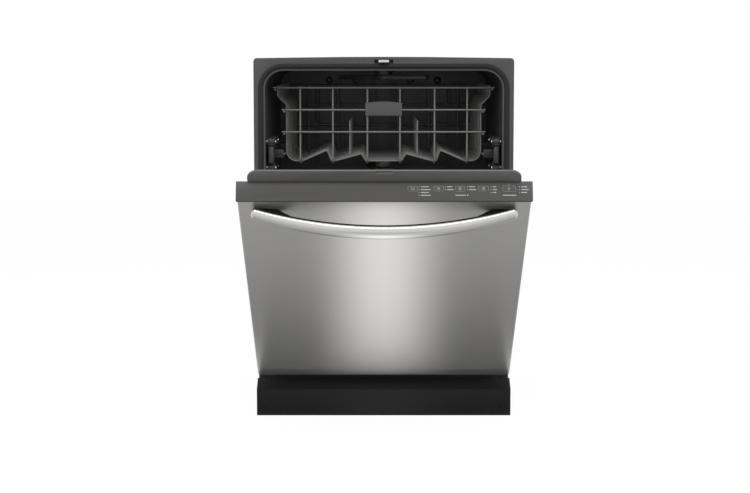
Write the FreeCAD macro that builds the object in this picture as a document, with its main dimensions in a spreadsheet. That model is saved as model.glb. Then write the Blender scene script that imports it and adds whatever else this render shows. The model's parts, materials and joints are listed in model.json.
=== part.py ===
import FreeCAD, Part
# A 600 mm built-in dishwasher with its door part open, as the separate pieces it is assembled from.
# Millimetres, X to the right, Y to the back, Z up. The origin is on the floor, under the middle of the
# toe kick. The door's pieces are modelled shut, in a frame of their own whose origin is on the hinge
# axis, and hang on that axis at the angle of the sheet.
import math
import os
import re

import Sketcher
from FreeCAD import Placement, Rotation, Vector

SIZES = [
    # Tub
    ("flange_width", 600.0, "front flange, side to side"),
    ("flange_front", 25.0, "flange face ahead of the toe kick"),
    ("flange_depth", 14.0, "flange, front to back"),
    ("flange_foot", 265.0, "height where the flange's sides end"),
    ("flange_crown", 3.0, "rise of the flange's top edge at its middle"),
    ("tub_top", 841.0, "height of the flange's top corners"),
    ("tub_depth", 575.0, "flange face to the tub's back"),
    ("tub_wall", 3.5, "moulded wall"),
    ("tub_floor", 196.0, "inside floor above the room's floor"),
    ("flange_side", 26.5, "inside wall from the flange's edge"),
    ("opening_drop", 29.0, "inside ceiling below the flange's top corners"),
    ("opening_round", 42.0, "radius of the inside top corners"),
    ("groove_inset", 11.0, "lip between opening and seal groove"),
    ("groove_width", 4.5, "seal groove"),
    ("groove_deep", 6.0, "seal groove"),
    ("seal_proud", 4.0, "seal ahead of the flange"),
    ("sump_y", 280.0, "middle of the sump and the spray arms"),
    ("sump_radius", 93.0, "hole in the tub's floor"),
    ("sump_deep", 86.0, "sump below the tub's floor"),
    ("sump_wall", 3.0, "sump"),
    ("sump_rim", 18.0, "sump's rim past its bowl's inside"),
    ("neck_radius", 20.0, "sump's pipes to the pumps"),
    ("neck_length", 12.0, "sump's pipes past its bowl's inside"),
    ("hub_radius", 14.0, "post under the lower spray arm"),
    ("spindle_radius", 8.0, "shafts that the spray arms spin on"),
    ("filter_x", 50.0, "filter from the middle"),
    ("filter_radius", 33.0, "filter"),
    ("filter_wall", 2.0, "filter"),
    ("filter_rise", 9.0, "filter above the tub's floor"),
    ("float_x", 205.0, "float from the middle"),
    ("float_y", 95.0, "float behind the toe kick"),
    ("float_stem", 6.0, "radius of the float's stem"),
    ("float_radius", 23.0, "float's cap"),
    ("float_height", 24.0, "float's cap"),
    ("heater_radius", 4.0, "heating rod"),
    ("heater_half", 190.0, "half width of the heating loop"),
    ("heater_front", 115.0, "front of the heating loop"),
    ("heater_gap", 40.0, "heating rod's ends from the middle"),
    ("heater_lift", 10.0, "heating loop above the tub's floor"),
    ("heater_bend", 8.0, "bend where the rod comes through the floor"),
    ("heater_turn", 60.0, "bends of the heating loop"),
    ("motor_radius", 46.0, "wash pump's motor"),
    ("motor_length", 118.0, "wash pump's motor"),
    ("motor_cap", 30.0, "radius of the motor's end cap"),
    ("motor_cap_length", 16.0, "motor's end cap"),
    ("drain_radius", 30.0, "drain pump"),
    ("drain_length", 70.0, "drain pump"),
    ("drain_port", 9.5, "radius of the drain pump's outlet"),
    ("drain_reach", 75.0, "outlet behind the drain pump's middle"),
    ("valve_half", 27.0, "half width of inlet valve and junction box"),
    ("valve_height", 50.0, "inlet valve's body"),
    ("valve_depth", 55.0, "inlet valve's body"),
    ("valve_port", 8.3, "radius of the valve's port"),
    ("valve_reach", 20.0, "port ahead of the valve"),
    ("coil_radius", 16.0, "valve's coil"),
    ("coil_height", 28.0, "valve's coil"),
    ("terminal_depth", 75.0, "junction box"),
    ("terminal_hole", 11.0, "radius of the junction box's knockout"),
    # Base
    ("rail_top", 60.0, "height of the base rails"),
    ("rail_foot", 30.0, "underside of the base rails"),
    ("rail_width", 30.0, "base rail, side to side"),
    ("rail_start", 8.0, "front end of the base rails"),
    ("rail_end", 520.0, "back end of the base rails"),
    ("sheet_gauge", 2.0, "bent steel of the base"),
    ("pan_front", 62.0, "front lip of the drip pan"),
    ("pan_lip", 44.0, "pan's lip above the base rails"),
    ("pan_gauge", 1.5, "drip pan"),
    ("leg_radius", 5.0, "threaded leg"),
    ("foot_radius", 16.0, "pad of a leg"),
    ("foot_height", 9.0, "pad of a leg"),
    ("leg_inset", 42.0, "legs from the ends of the base rails"),
    ("toe_height", 62.5, "upright face of the toe kick"),
    ("toe_rake", 34.0, "depth of the toe kick's sloping top"),
    ("toe_rise", 21.0, "rise of the toe kick's sloping top"),
    ("toe_screw_in", 23.0, "screws from the toe kick's ends"),
    ("toe_screw_z", 25.0, "height of the screws"),
    ("lug_margin", 8.0, "toe kick's lugs round their screws"),
    # Hinge
    ("hinge_inset", 10.0, "hinge axis behind the flange face"),
    ("hinge_rise", 4.0, "hinge axis above the tub's floor"),
    ("pin_radius", 5.0, "hinge pin"),
    ("bracket_gauge", 3.0, "hinge bracket and arm plates"),
    ("arm_gap", 3.0, "between bracket and arm"),
    ("bracket_radius", 12.0, "round end of bracket and arm"),
    ("bracket_leg_y", 110.0, "front edge of the bracket's leg"),
    ("bracket_leg", 50.0, "width of the bracket's leg"),
    ("anchor_y", 205.0, "spring anchor behind the toe kick"),
    ("anchor_rise", 5.0, "spring anchor above the hinge axis"),
    ("tail_length", 40.0, "arm's tail behind the hinge axis"),
    ("spring_radius", 7.0, "middle of the spring's coils"),
    ("spring_wire", 1.1, "radius of the spring's wire"),
    ("spring_turns", 28.0, "coils in each spring"),
    ("spring_pitch", 3.4, "step of the stretched coils"),
    # Door
    ("door_angle", 48.0, "door from shut, degrees"),
    ("door_front", 55.5, "steel face ahead of the hinge axis"),
    ("panel_inset", 1.5, "steel panel inside the flange's edges"),
    ("panel_drop", 99.0, "steel panel below the hinge axis"),
    ("panel_gauge", 1.2, "steel sheet"),
    ("top_gap", 3.0, "shut liner below the flange's top corners"),
    ("liner_lap", 4.5, "liner past the inside wall"),
    ("liner_gauge", 4.0, "liner"),
    ("liner_skirt", 3.0, "wide part of the liner"),
    ("liner_back", 15.0, "liner's face ahead of the hinge axis"),
    ("liner_round", 24.0, "liner's top corners"),
    ("liner_drop", 90.0, "liner below the hinge axis"),
    ("plug_side", 29.5, "raised middle of the liner from the inside wall"),
    ("plug_foot", 45.0, "raised middle above the hinge axis"),
    ("plug_deep", 12.0, "raised middle, out of the liner"),
    ("plug_gap", 10.0, "raised middle below the ceiling"),
    ("plug_round", 24.0, "corners of the raised middle"),
    ("liner_upstand", 33.0, "liner above the console"),
    ("console_over", 2.5, "console past the steel's edges"),
    ("console_rise", 15.5, "height of the sloping face"),
    ("console_rake", 34.0, "set-back of the sloping face"),
    ("console_lip", 2.0, "console ahead of the steel"),
    ("console_foot", 4.0, "upright edge below the sloping face"),
    ("console_wall", 2.0, "console"),
    ("console_corner", 3.0, "cut lower corners of the console"),
    ("key_up", 25.5, "middle of the keys up the face"),
    ("key_height", 12.5, "small keys"),
    ("key_width", 21.5, "small keys"),
    ("start_height", 13.5, "large key"),
    ("start_width", 28.0, "large key"),
    ("key_deep", 5.0, "key, front to back"),
    ("key_proud", 0.5, "key out of the face"),
    ("key_play", 0.25, "key in its hole"),
    ("key_stop", 1.2, "rim that keeps a key in its hole"),
    ("key_cycle_x", 57.5, "middle of the first key"),
    ("key_heat_x", 110.0, "middle of the second key"),
    ("key_dry_x", 153.5, "middle of the third key"),
    ("key_delay_x", 201.0, "middle of the fourth key"),
    ("key_start_x", 253.0, "middle of the large key"),
    ("handle_inset", 29.5, "handle's ends inside the steel's edges"),
    ("handle_bow", 44.0, "handle's middle ahead of its ends"),
    ("handle_below", 24.5, "handle below the panel's top edge"),
    ("handle_tall", 13.0, "half height of the bar"),
    ("handle_thick", 11.0, "half depth of the bar"),
    ("handle_tip", 9.0, "rounding of the bar's ends"),
    ("handle_foot_in", 11.0, "feet from the bar's ends"),
    ("handle_foot_radius", 6.0, "foot of the bar"),
    ("handle_stud", 4.0, "radius of the foot's stud"),
    ("handle_nut", 8.0, "radius of the stud's nut"),
    ("handle_nut_height", 5.0, "stud's nut"),
    ("dispenser_x", 20.0, "dispenser from the middle"),
    ("dispenser_up", 330.0, "dispenser above the hinge axis"),
    ("dispenser_width", 190.0, "dispenser face"),
    ("dispenser_height", 126.0, "dispenser face"),
    ("dispenser_deep", 34.0, "dispenser behind its face"),
    ("dispenser_face", 2.5, "dispenser's rim"),
    ("cup_width", 86.0, "detergent cup"),
    ("cup_height", 84.0, "detergent cup"),
    ("lid_lap", 4.0, "lid past the cup"),
    ("lid_gauge", 3.5, "lid"),
    ("cap_radius", 21.0, "rinse cap"),
    ("cap_height", 6.0, "rinse cap"),
    # Latch
    ("strike_drop", 7.8, "latch below the flange's top corners"),
    ("strike_width", 43.0, "latch window"),
    ("strike_height", 8.5, "latch window"),
    ("hook_width", 24.0, "latch hook"),
    ("hook_height", 4.0, "latch hook"),
    ("hook_reach", 14.0, "hook ahead of the flange"),
    # Racks
    ("wire", 2.2, "radius of the rack wire"),
    ("weld", 0.05, "between crossing wires"),
    ("pin_collar", 2.8, "roller from the wall"),
    ("roller_width", 17.4, "roller"),
    ("roller_lip", 2.4, "each flange of a roller"),
    ("roller_core", 11.0, "rolling radius"),
    ("roller_rim", 13.5, "radius of a roller's flanges"),
    ("roller_pin", 3.0, "radius of a roller's pin"),
    ("roller_front_y", 14.0, "front rollers"),
    ("roller_back_y", 104.0, "back rollers"),
    ("rail_z", 616.5, "middle of the rack's rails"),
    ("rail_height", 38.0, "rack rail"),
    ("rail_depth", 12.0, "rack rail, side to side"),
    ("rail_gauge", 1.5, "rack rail"),
    ("rail_play", 0.3, "rail in its rollers, and wheels on the floor"),
    ("rail_length", 445.0, "rack rail"),
    ("cap_length", 8.0, "stop at the rail's front end"),
    ("rack_gap", 19.3, "rack inside its rails"),
    ("rack_lift", 155.5, "rack's top rail above the rails"),
    ("rack_depth", 456.0, "rack, front to back"),
    ("rack_dock", 9.0, "rack ahead of the feed tube"),
    ("rack_flare", 21.0, "rack's top wider than its sides, each side"),
    ("rack_deep", 173.0, "rack's floor below its top rail"),
    ("rack_rails", 52.0, "step of the rack's rails"),
    ("hoop_bend", 24.0, "bend of the wires across"),
    ("flare_top", 20.0, "start of the flare below the top rail"),
    ("flare_foot", 40.0, "end of the flare below the top rail"),
    ("long_bend", 14.0, "bend of the long wires"),
    ("long_near", 38.5, "inner long wires from the middle"),
    ("long_step", 77.0, "middle long wires from the outer ones"),
    ("long_far", 33.0, "outer long wires from the rack's side"),
    ("hill_lead", 4.0, "level wire before and after a ridge"),
    ("hill_run", 10.0, "steep side of a ridge, across the rack"),
    ("hill_bend", 5.0, "bends of the ridges"),
    ("hill_inner", 17.0, "ridges beside the middle channel"),
    ("hill_outer", 26.0, "ridges beside the outer channels"),
    ("rail_over", 2.0, "rails past the wires that they cross"),
    ("tine_side", 80.0, "upper tines from the middle"),
    ("tine_height", 80.0, "upper tines"),
    ("badge_width", 87.0, "plate on the rack's front"),
    ("badge_drop", 66.0, "plate's lower edge below the top rail"),
    ("badge_height", 30.0, "plate on the rack's front"),
    ("feed_width", 32.0, "feed tube"),
    ("feed_depth", 17.5, "feed tube"),
    ("arm_half", 13.0, "half width of a spray arm's hub end"),
    ("top_arm", 122.0, "half length of the top spray arm"),
    ("mid_arm", 215.0, "half length of the middle spray arm"),
    ("low_arm", 222.0, "half length of the lower spray arm"),
    ("arm_gauge", 10.0, "height of a spray arm"),
    ("wheel_radius", 17.0, "lower rack's wheels"),
    ("wheel_width", 12.0, "lower rack's wheels"),
    ("axle_radius", 4.0, "lower rack's axles"),
    ("axle_play", 0.08, "bore over its axle or pin"),
    ("lower_lift", 28.7, "lower rack's floor above its axles"),
    ("lower_deep", 150.0, "lower rack's floor below its top"),
    ("lower_depth", 476.0, "lower rack, front to back"),
    ("lower_gap", 23.85, "lower rack's side wires from the wall"),
    ("lower_rail_top", 7.0, "lower rack's top rail below its wires' ends"),
    ("lower_rails", 47.5, "step of the lower rack's rails"),
    ("lower_near", 40.0, "inner long wires from the middle"),
    ("lower_step", 75.0, "middle long wires from the outer ones"),
    ("lower_far", 48.0, "outer long wires from the rack's side"),
    ("lower_tine", 72.0, "lower tines"),
    ("lower_tine_step", 60.0, "rows of lower tines"),
    ("basket_side", 26.0, "cutlery basket from the rack's side"),
    ("hanger_half", 15.0, "half width of a wheel's hanger"),
    ("hanger_gauge", 3.0, "wheel's hanger"),
    ("wheel_front_y", 110.0, "front wheels"),
    ("wheel_back_in", 90.0, "back wheels ahead of the rack's back"),
    ("basket_width", 88.0, "cutlery basket"),
    ("basket_length", 250.0, "cutlery basket"),
    ("basket_height", 112.0, "cutlery basket"),
    ("basket_wall", 2.5, "cutlery basket"),
]

doc = FreeCAD.newDocument("Dishwasher")
sheet = doc.addObject("Spreadsheet::Sheet", "Sizes")
for row, (alias, number, note) in enumerate(SIZES, 1):
    sheet.set(f"A{row}", alias.replace("_", " "))
    sheet.set(f"B{row}", str(number))
    sheet.setAlias(f"B{row}", alias)
    sheet.set(f"C{row}", note)
gauge = doc.addObject("App::FeaturePython", "Gauge")
gauge.addProperty("App::PropertyFloat", "Reading")
doc.recompute()

ALIASES = {alias for alias, number, note in SIZES}
WORD = re.compile(r"\b[a-z][a-z_]*\b")
ACROSS = Vector(1, 0, 0)
nodes = []


# Helpers: formulas over the sheet

def formula(text):
    """An expression in which each name of the sheet is written as the document reads it."""
    return WORD.sub(lambda found: f"Sizes.{found[0]}" if found[0] in ALIASES else found[0], str(text))


def bind(piece, prop, text):
    piece.setExpression(prop, formula(text))


def val(text):
    """The value of a formula, for shapes that are set by Part's own functions."""
    bind(gauge, "Reading", text)
    gauge.recompute()
    return gauge.Reading


# Helpers: primitives, each given by its lowest and highest place on an axis

def box(name, x, y, z):
    piece = doc.addObject("Part::Box", name)
    for prop, axis, (low, high) in zip(("Length", "Width", "Height"), "xyz", (x, y, z)):
        bind(piece, prop, f"({high}) - ({low})")
        bind(piece, f"Placement.Base.{axis}", low)
    return piece


def across(half):
    """A range that is even about the middle."""
    return f"-({half})", half


def shrunk(span, amount):
    """A range drawn in at both ends."""
    return f"{span[0]} + {amount}", f"{span[1]} - {amount}"


TURNS = {"x": Rotation(Vector(0, 1, 0), 90), "y": Rotation(ACROSS, -90), "z": Rotation()}


def rod(name, axis, radius, span, **place):
    """A cylinder along an axis, over a span of it, at a place on the other two."""
    piece = doc.addObject("Part::Cylinder", name)
    piece.Placement = Placement(Vector(), TURNS[axis])
    bind(piece, "Radius", radius)
    bind(piece, "Height", f"({span[1]}) - ({span[0]})")
    place[axis] = span[0]
    for key, text in place.items():
        bind(piece, f"Placement.Base.{key}", text)
    return piece


def fuse(name, *pieces):
    piece = doc.addObject("Part::MultiFuse", name)
    piece.Shapes = list(pieces)
    piece.Refine = True
    return piece


def cut(name, base, *tools):
    piece = doc.addObject("Part::Cut", name)
    piece.Base = base
    piece.Tool = tools[0] if len(tools) == 1 else fuse(f"{name}_tools", *tools)
    return piece


def group(name, *pieces):
    piece = doc.addObject("Part::Compound", name)
    piece.Links = list(pieces)
    return piece


def mirror(name, source):
    piece = doc.addObject("Part::Mirroring", name)
    piece.Source = source
    piece.Normal = ACROSS
    return piece


def pair(name, source):
    """A right-hand piece and its left-hand twin, as two solids."""
    return group(name, source, mirror(f"{name}_twin", source))


# Helpers: sketched bodies

def outline(body, name, role, points, offset="0"):
    """A closed sketch of straight lines whose corners are bound to the sheet."""
    sketch = body.newObject("Sketcher::SketchObject", name)
    plane = next(part for part in body.Origin.OriginFeatures if part.Role == role)
    sketch.AttachmentSupport = [(plane, "")]
    sketch.MapMode = "FlatFace"
    bind(sketch, "AttachmentOffset.Base.z", offset)
    starts = [Vector(val(first), val(second), 0) for first, second in points]
    count = len(points)
    for corner in range(count):
        sketch.addGeometry(Part.LineSegment(starts[corner], starts[(corner + 1) % count]))
    for corner in range(count):
        sketch.addConstraint(Sketcher.Constraint("Coincident", corner, 2, (corner + 1) % count, 1))
        for kind, place, text in zip(("DistanceX", "DistanceY"), starts[corner], points[corner]):
            rule = Sketcher.Constraint(kind, -1, 1, corner, 1, place)
            bind(sketch, f"Constraints[{sketch.addConstraint(rule)}]", text)
    return sketch


def prism(name, points, width):
    """A profile in Y and Z, extruded evenly to both sides along X."""
    body = doc.addObject("PartDesign::Body", name)
    pad = body.newObject("PartDesign::Pad", f"{name}_pad")
    pad.Profile = outline(body, f"{name}_outline", "YZ_Plane", points)
    pad.Midplane = True
    bind(pad, "Length", width)
    return body


def slab(name, x, y, z, radius, rounded=lambda place: True):
    """A block whose edges along Y are rounded where the test of an edge's middle says so."""
    corners = [(x[0], z[0]), (x[1], z[0]), (x[1], z[1]), (x[0], z[1])]
    body = doc.addObject("PartDesign::Body", name)
    pad = body.newObject("PartDesign::Pad", f"{name}_pad")
    pad.Profile = outline(body, f"{name}_outline", "XZ_Plane", corners, f"-({y[1]})")
    bind(pad, "Length", f"({y[1]}) - ({y[0]})")
    doc.recompute()
    edges = []
    for number, edge in enumerate(pad.Shape.Edges, 1):
        if abs(edge.tangentAt(edge.FirstParameter).y) > 0.99 and rounded(edge.CenterOfMass):
            edges.append(f"Edge{number}")
    fillet = body.newObject("PartDesign::Fillet", f"{name}_round")
    fillet.Base = (pad, edges)
    bind(fillet, "Radius", radius)
    body.Tip = fillet
    return body


def above(text):
    """A test that keeps the edges above a height."""
    height = val(text)
    return lambda place: place.z > height


# Helpers: nodes

HINGE_Y = "(hinge_inset - flange_front)"
HINGE_Z = "(tub_floor + hinge_rise)"


def node(label, piece):
    piece.Label = label
    nodes.append(piece)


def door_node(label, *pieces):
    """A piece of the door, turned about the hinge axis by the door's angle."""
    piece = group(f"{label}_hung", *pieces)
    piece.Placement = Placement(Vector(), Rotation(ACROSS, 1))
    bind(piece, "Placement.Rotation.Angle", "door_angle")
    bind(piece, "Placement.Base.y", HINGE_Y)
    bind(piece, "Placement.Base.z", HINGE_Z)
    node(label, piece)


# Places that many pieces share

WALL = "(flange_width/2 - flange_side)"
SHELL = f"({WALL} + tub_wall)"
FACE = "(-flange_front)"
TUB_BACK = "(tub_depth - flange_front)"
INNER_BACK = "(tub_depth - flange_front - tub_wall)"
UNDER = "(tub_floor - tub_wall)"
CEILING = "(tub_top - opening_drop)"
STRIKE_Z = "(tub_top - strike_drop)"


# Cabinet: the tub and its seal

def seal_ring(name, depth, outside, inside):
    """A band round the opening's sides and top, between two distances from its edge."""
    low = "flange_foot"
    tops = above(CEILING)
    reach = (f"{WALL} + {outside}", f"{WALL} + {inside}")
    ring = [slab(f"{name}_{key}", across(half), depth, (low, f"{CEILING} + {extra}"),
                 f"opening_round + {extra}", tops)
            for key, half, extra in zip(("outside", "inside"), reach, (outside, inside))]
    return cut(name, *ring)


shell = slab("tub_shell", across(SHELL), (FACE, TUB_BACK), (UNDER, f"{CEILING} + tub_wall"),
             "opening_round + tub_wall", above(CEILING))
plate = box("flange_plate", across("flange_width/2"), (FACE, f"{FACE} + flange_depth"),
            ("flange_foot", "tub_top + flange_crown"))
crown_radius = "((flange_width^2/4 + flange_crown^2)/(2*flange_crown))"
crown = rod("flange_crown_arc", "y", crown_radius, (f"{FACE} - 1", f"{FACE} + flange_depth + 1"),
            x="0", z=f"tub_top + flange_crown - {crown_radius}")
flange = doc.addObject("Part::Common", "flange_crowned")
flange.Base = plate
flange.Tool = crown
room = slab("tub_room", across(WALL), (f"{FACE} - 1", INNER_BACK), ("tub_floor", CEILING),
            "opening_round", above(f"{CEILING} - 1"))
well = rod("tub_well", "z", "sump_radius", (f"{UNDER} - 1", "tub_floor + 1"), x="0", y="sump_y")
GROOVE_OUT = "(groove_inset + groove_width)"
groove = seal_ring("tub_groove", (f"{FACE} - 1", f"{FACE} + groove_deep"), GROOVE_OUT, "groove_inset")
window = box("latch_window", across("strike_width/2"), (f"{FACE} - 1", f"{FACE} + flange_depth + 1"),
             (f"{STRIKE_Z} - strike_height/2", f"{STRIKE_Z} + strike_height/2"))
FLOAT_X, FLOAT_Y, STEM = "float_x", "float_y", "float_stem"
float_hole = rod("float_hole", "z", f"{STEM} + axle_play", (f"{UNDER} - 1", "tub_floor + 1"),
                 x=FLOAT_X, y=FLOAT_Y)
heater_holes = [rod(f"heater_hole_{side}", "z", f"heater_radius + axle_play",
                    (f"{UNDER} - 1", "tub_floor + 1"), x=f"{sign}heater_gap", y="heater_front")
                for side, sign in (("right", ""), ("left", "-"))]
node("tub", cut("tub_moulded", fuse("tub_solid", shell, flange), room, well, groove, window,
                float_hole, *heater_holes))
node("tub_seal", seal_ring("seal_band", (f"{FACE} - seal_proud", f"{FACE} + groove_deep"),
                           GROOVE_OUT, "groove_inset"))


# Cabinet: base frame, legs, pan and toe kick

RAIL_IN = f"({SHELL} - rail_width)"
RAIL_Y = ("rail_start", "rail_end")
RAIL_Z = ("rail_foot", "rail_top")
right_rail = cut(
    "base_rail",
    box("base_rail_block", (RAIL_IN, SHELL), RAIL_Y, RAIL_Z),
    box("base_rail_inside", (f"{RAIL_IN} + sheet_gauge", f"{SHELL} - sheet_gauge"),
        ("rail_start - 1", "rail_end + 1"), ("rail_foot - 1", "rail_top - sheet_gauge")))
front_member = cut(
    "front_member",
    box("front_member_block", across(RAIL_IN), ("rail_start", "rail_start + rail_width"), RAIL_Z),
    box("front_member_inside", across(f"{RAIL_IN} + 1"),
        ("rail_start + sheet_gauge", "rail_start + rail_width - sheet_gauge"),
        ("rail_foot - 1", "rail_top - sheet_gauge")))
stand_y = ("rail_end - 15 - sheet_gauge", "rail_end - 15")
rear_stand = cut(
    "rear_stand",
    box("rear_stand_plate", across(SHELL), stand_y, ("rail_top", UNDER)),
    box("rear_stand_window", across(f"{RAIL_IN} - 20"), ("rail_end - 40", "rail_end"),
        ("rail_top + 25", f"{UNDER} - 30")))
LEG_X = f"({SHELL} - rail_width/2)"
LEG_PLACES = [("front", "rail_start + leg_inset"), ("rear", "rail_end - leg_inset")]
leg_holes = [rod(f"leg_hole_{key}", "z", "leg_radius + axle_play", ("rail_foot", "rail_top + 1"),
                 x=LEG_X, y=place) for key, place in LEG_PLACES]
drilled = cut("base_rail_drilled", right_rail, *leg_holes)
node("base_frame", fuse("base_welded", drilled, mirror("base_rail_twin", drilled), front_member,
                        rear_stand))
legs = []
for key, place in LEG_PLACES:
    foot = rod(f"leg_{key}_foot", "z", "foot_radius", ("0", "foot_height"), x=LEG_X, y=place)
    stem = rod(f"leg_{key}_stem", "z", "leg_radius", ("0", "rail_top + 12"), x=LEG_X, y=place)
    nut = rod(f"leg_{key}_nut", "z", "2*leg_radius", ("rail_top - sheet_gauge - 8", "rail_top - sheet_gauge"),
              x=LEG_X, y=place)
    leg = fuse(f"leg_{key}", foot, stem, nut)
    legs += [leg, mirror(f"leg_{key}_twin", leg)]
node("leveling_legs", group("legs", *legs))
PAN_LIP = ("pan_front", "pan_front + pan_gauge")
LIP_TOP = "(rail_top + pan_lip)"
pan = fuse("pan",
           box("pan_floor", across(RAIL_IN), ("pan_front", stand_y[0]), ("rail_top - 2", "rail_top - 0.5")),
           box("pan_lip_root", across(RAIL_IN), PAN_LIP, ("rail_top - 2", LIP_TOP)),
           box("pan_lip_wide", across(SHELL), PAN_LIP, ("rail_top + 0.5", LIP_TOP)))
node("base_pan", pan)
toe_skin = [("-sheet_gauge/2", "0"), ("sheet_gauge/2", "0"), ("sheet_gauge/2", "toe_height - sheet_gauge"),
            ("toe_rake", "toe_height + toe_rise - sheet_gauge"), ("toe_rake", "toe_height + toe_rise"),
            ("-sheet_gauge/2", "toe_height")]
TOE_SKIN = "-sheet_gauge/2"
SCREW_X = "(flange_width/2 - toe_screw_in)"
SCREW = {"x": SCREW_X, "z": "toe_screw_z"}
toe_lug = box("toe_lug", (RAIL_IN, f"{SCREW_X} + lug_margin"), ("sheet_gauge/2", "rail_start"),
              ("toe_screw_z - lug_margin", "rail_top"))
toe_hole = rod("toe_hole", "y", "2.1", ("-5", "rail_start + 1"), **SCREW)
toe_holes = [toe_hole, mirror("toe_hole_twin", toe_hole)]
toe_panel = fuse("toe_panel", prism("toe_bent", toe_skin, "flange_width"), toe_lug,
                 mirror("toe_lug_twin", toe_lug))
node("toe_kick", cut("toe_drilled", toe_panel, *toe_holes))
screw = fuse("toe_screw", rod("toe_screw_head", "y", "4", (f"{TOE_SKIN} - 2", TOE_SKIN), **SCREW),
             rod("toe_screw_shank", "y", "2.1", (TOE_SKIN, "rail_start - 1"), **SCREW))
node("toe_kick_screws", pair("toe_screws", screw))


# Cabinet: hinge brackets, pins and springs

BRACKET_X = (SHELL, f"{SHELL} + bracket_gauge")
ARM_X = (f"{SHELL} + bracket_gauge + arm_gap", f"{SHELL} + 2*bracket_gauge + arm_gap")
bracket = cut(
    "hinge_bracket",
    fuse("bracket_plate",
         rod("bracket_end", "x", "bracket_radius", BRACKET_X, y=HINGE_Y, z=HINGE_Z),
         box("bracket_arm", BRACKET_X, (HINGE_Y, "anchor_y + 12"),
             (f"{HINGE_Z} - bracket_radius", f"{HINGE_Z} + bracket_radius")),
         box("bracket_leg", BRACKET_X, ("bracket_leg_y", "bracket_leg_y + bracket_leg"),
             ("rail_foot", HINGE_Z)),
         rod("spring_post", "x", "3", (BRACKET_X[0], f"{SHELL} + 18"), y="anchor_y",
             z=f"{HINGE_Z} + anchor_rise")),
    rod("bracket_bore", "x", "pin_radius", (f"{SHELL} - 1", f"{SHELL} + 30"), y=HINGE_Y, z=HINGE_Z))
node("hinge_brackets", pair("brackets", bracket))
pin = fuse("hinge_pin",
           rod("pin_shank", "x", "pin_radius", (SHELL, f"{ARM_X[1]} + 1"), y=HINGE_Y, z=HINGE_Z),
           rod("pin_head", "x", "pin_radius + 3", (f"{ARM_X[1]} + 0.3", f"{ARM_X[1]} + 3"),
               y=HINGE_Y, z=HINGE_Z))
node("hinge_pins", pair("pins", pin))


def arc_edge(start, tangent, end):
    """The arc that leaves start along tangent and ends at end."""
    chord = end - start
    aside = (chord - tangent * chord.dot(tangent)).normalize()
    radius = chord.dot(chord) / (2 * chord.dot(aside))
    centre = start + aside * radius
    middle = ((start - centre) + (end - centre)).normalize()
    return Part.Arc(start, centre + middle * radius, end).toShape()


def biarc(start, leaving, end, arriving):
    """Two arcs, tangent where they meet, from one place and direction to another."""
    chord = end - start
    both = leaving + arriving
    spread = 2 * (1 - leaving.dot(arriving))
    reach = (math.sqrt(chord.dot(both) ** 2 + spread * chord.dot(chord)) - chord.dot(both)) / spread
    meet = (start + leaving * reach + end - arriving * reach) * 0.5
    return [arc_edge(start, leaving, meet), arc_edge(end, arriving * -1, meet)]


def tube(path, radius):
    """A round bar along a path of lines and arcs that are tangent to each other."""
    first = path.OrderedEdges[0]
    at = path.OrderedVertexes[0].Point
    along = first.tangentAt(first.getParameterByLength(0))
    return path.makePipeShell([Part.Wire(Part.makeCircle(radius, at, along))], True, False)


def nearest_turn(edges, turns):
    """The least distance between places on the coil that are about one turn apart."""
    places = [place for edge in edges for place in edge.discretize(7)[:-1]]
    turn = round(len(places) / turns)
    return min(places[at].distanceToPoint(places[at + step])
               for at in range(len(places) - 2 * turn)
               for step in range(turn - turn // 3, turn + turn // 3))


def spring(foot, head):
    """A stretched coil between two posts, held at each end by a plug with a rod and an eye."""
    radius, wire_radius = val("spring_radius"), val("spring_wire")
    turns, pitch = val("spring_turns"), val("spring_pitch")
    along = (head - foot).normalize()
    side = along.cross(ACROSS)
    lead = (head.distanceToPoint(foot) - turns * pitch) / 2
    slope = math.hypot(2 * math.pi * radius, pitch)

    def place(spin):
        out = ACROSS * math.cos(spin) + side * math.sin(spin)
        return foot + along * (lead + pitch * spin / (2 * math.pi)) + out * radius

    def heading(spin):
        round_way = side * math.cos(spin) - ACROSS * math.sin(spin)
        return (round_way * (2 * math.pi * radius) + along * pitch) * (1 / slope)

    edges = []
    for half in range(int(2 * turns)):
        low, high = half * math.pi, (half + 1) * math.pi
        edges += biarc(place(low), heading(low), place(high), heading(high))
    gap = nearest_turn(edges, turns) - 2 * wire_radius
    print(f"spring: {turns:g} coils, least gap between coils {gap:.2f} mm")
    solids = [tube(Part.Wire(edges), wire_radius)]
    for end, way in ((foot, along), (head, along * -1)):
        ring = Part.makeCylinder(6, 3, end - ACROSS * 1.5, ACROSS)
        bore = Part.makeCylinder(3.3, 5, end - ACROSS * 2.5, ACROSS)
        link = Part.makeCylinder(1.4, lead - 4.6, end + way * 4.6, way)
        plug = Part.makeCylinder(radius - wire_radius - 0.05, 2 * pitch, end + way * lead, way)
        solids.append(ring.cut(bore).fuse([link, plug]).removeSplitter())
    return solids


def feature(label, solids):
    """A node made of solids that Part's own functions shape, from sizes read off the sheet."""
    piece = doc.addObject("Part::Feature", f"{label}_shape")
    piece.Shape = Part.makeCompound(solids)
    node(label, piece)


def twins(solids):
    return solids + [solid.mirror(Vector(), ACROSS) for solid in solids]


SPRING_X = f"({SHELL} + 13)"
spring_foot = Vector(val(SPRING_X), val(f"{HINGE_Y} + tail_length*cos(door_angle)"),
                     val(f"{HINGE_Z} + tail_length*sin(door_angle)"))
spring_head = Vector(val(SPRING_X), val("anchor_y"), val(f"{HINGE_Z} + anchor_rise"))
feature("door_springs", twins(spring(spring_foot, spring_head)))


# Cabinet: sump, filter and float

HUB_RADIUS, SPINDLE = "hub_radius", "spindle_radius"
SUMP_FOOT = "(tub_floor - sump_deep)"
ARM_LOW = "(tub_floor + 16)"
AT_SUMP = {"x": "0", "y": "sump_y"}


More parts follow.
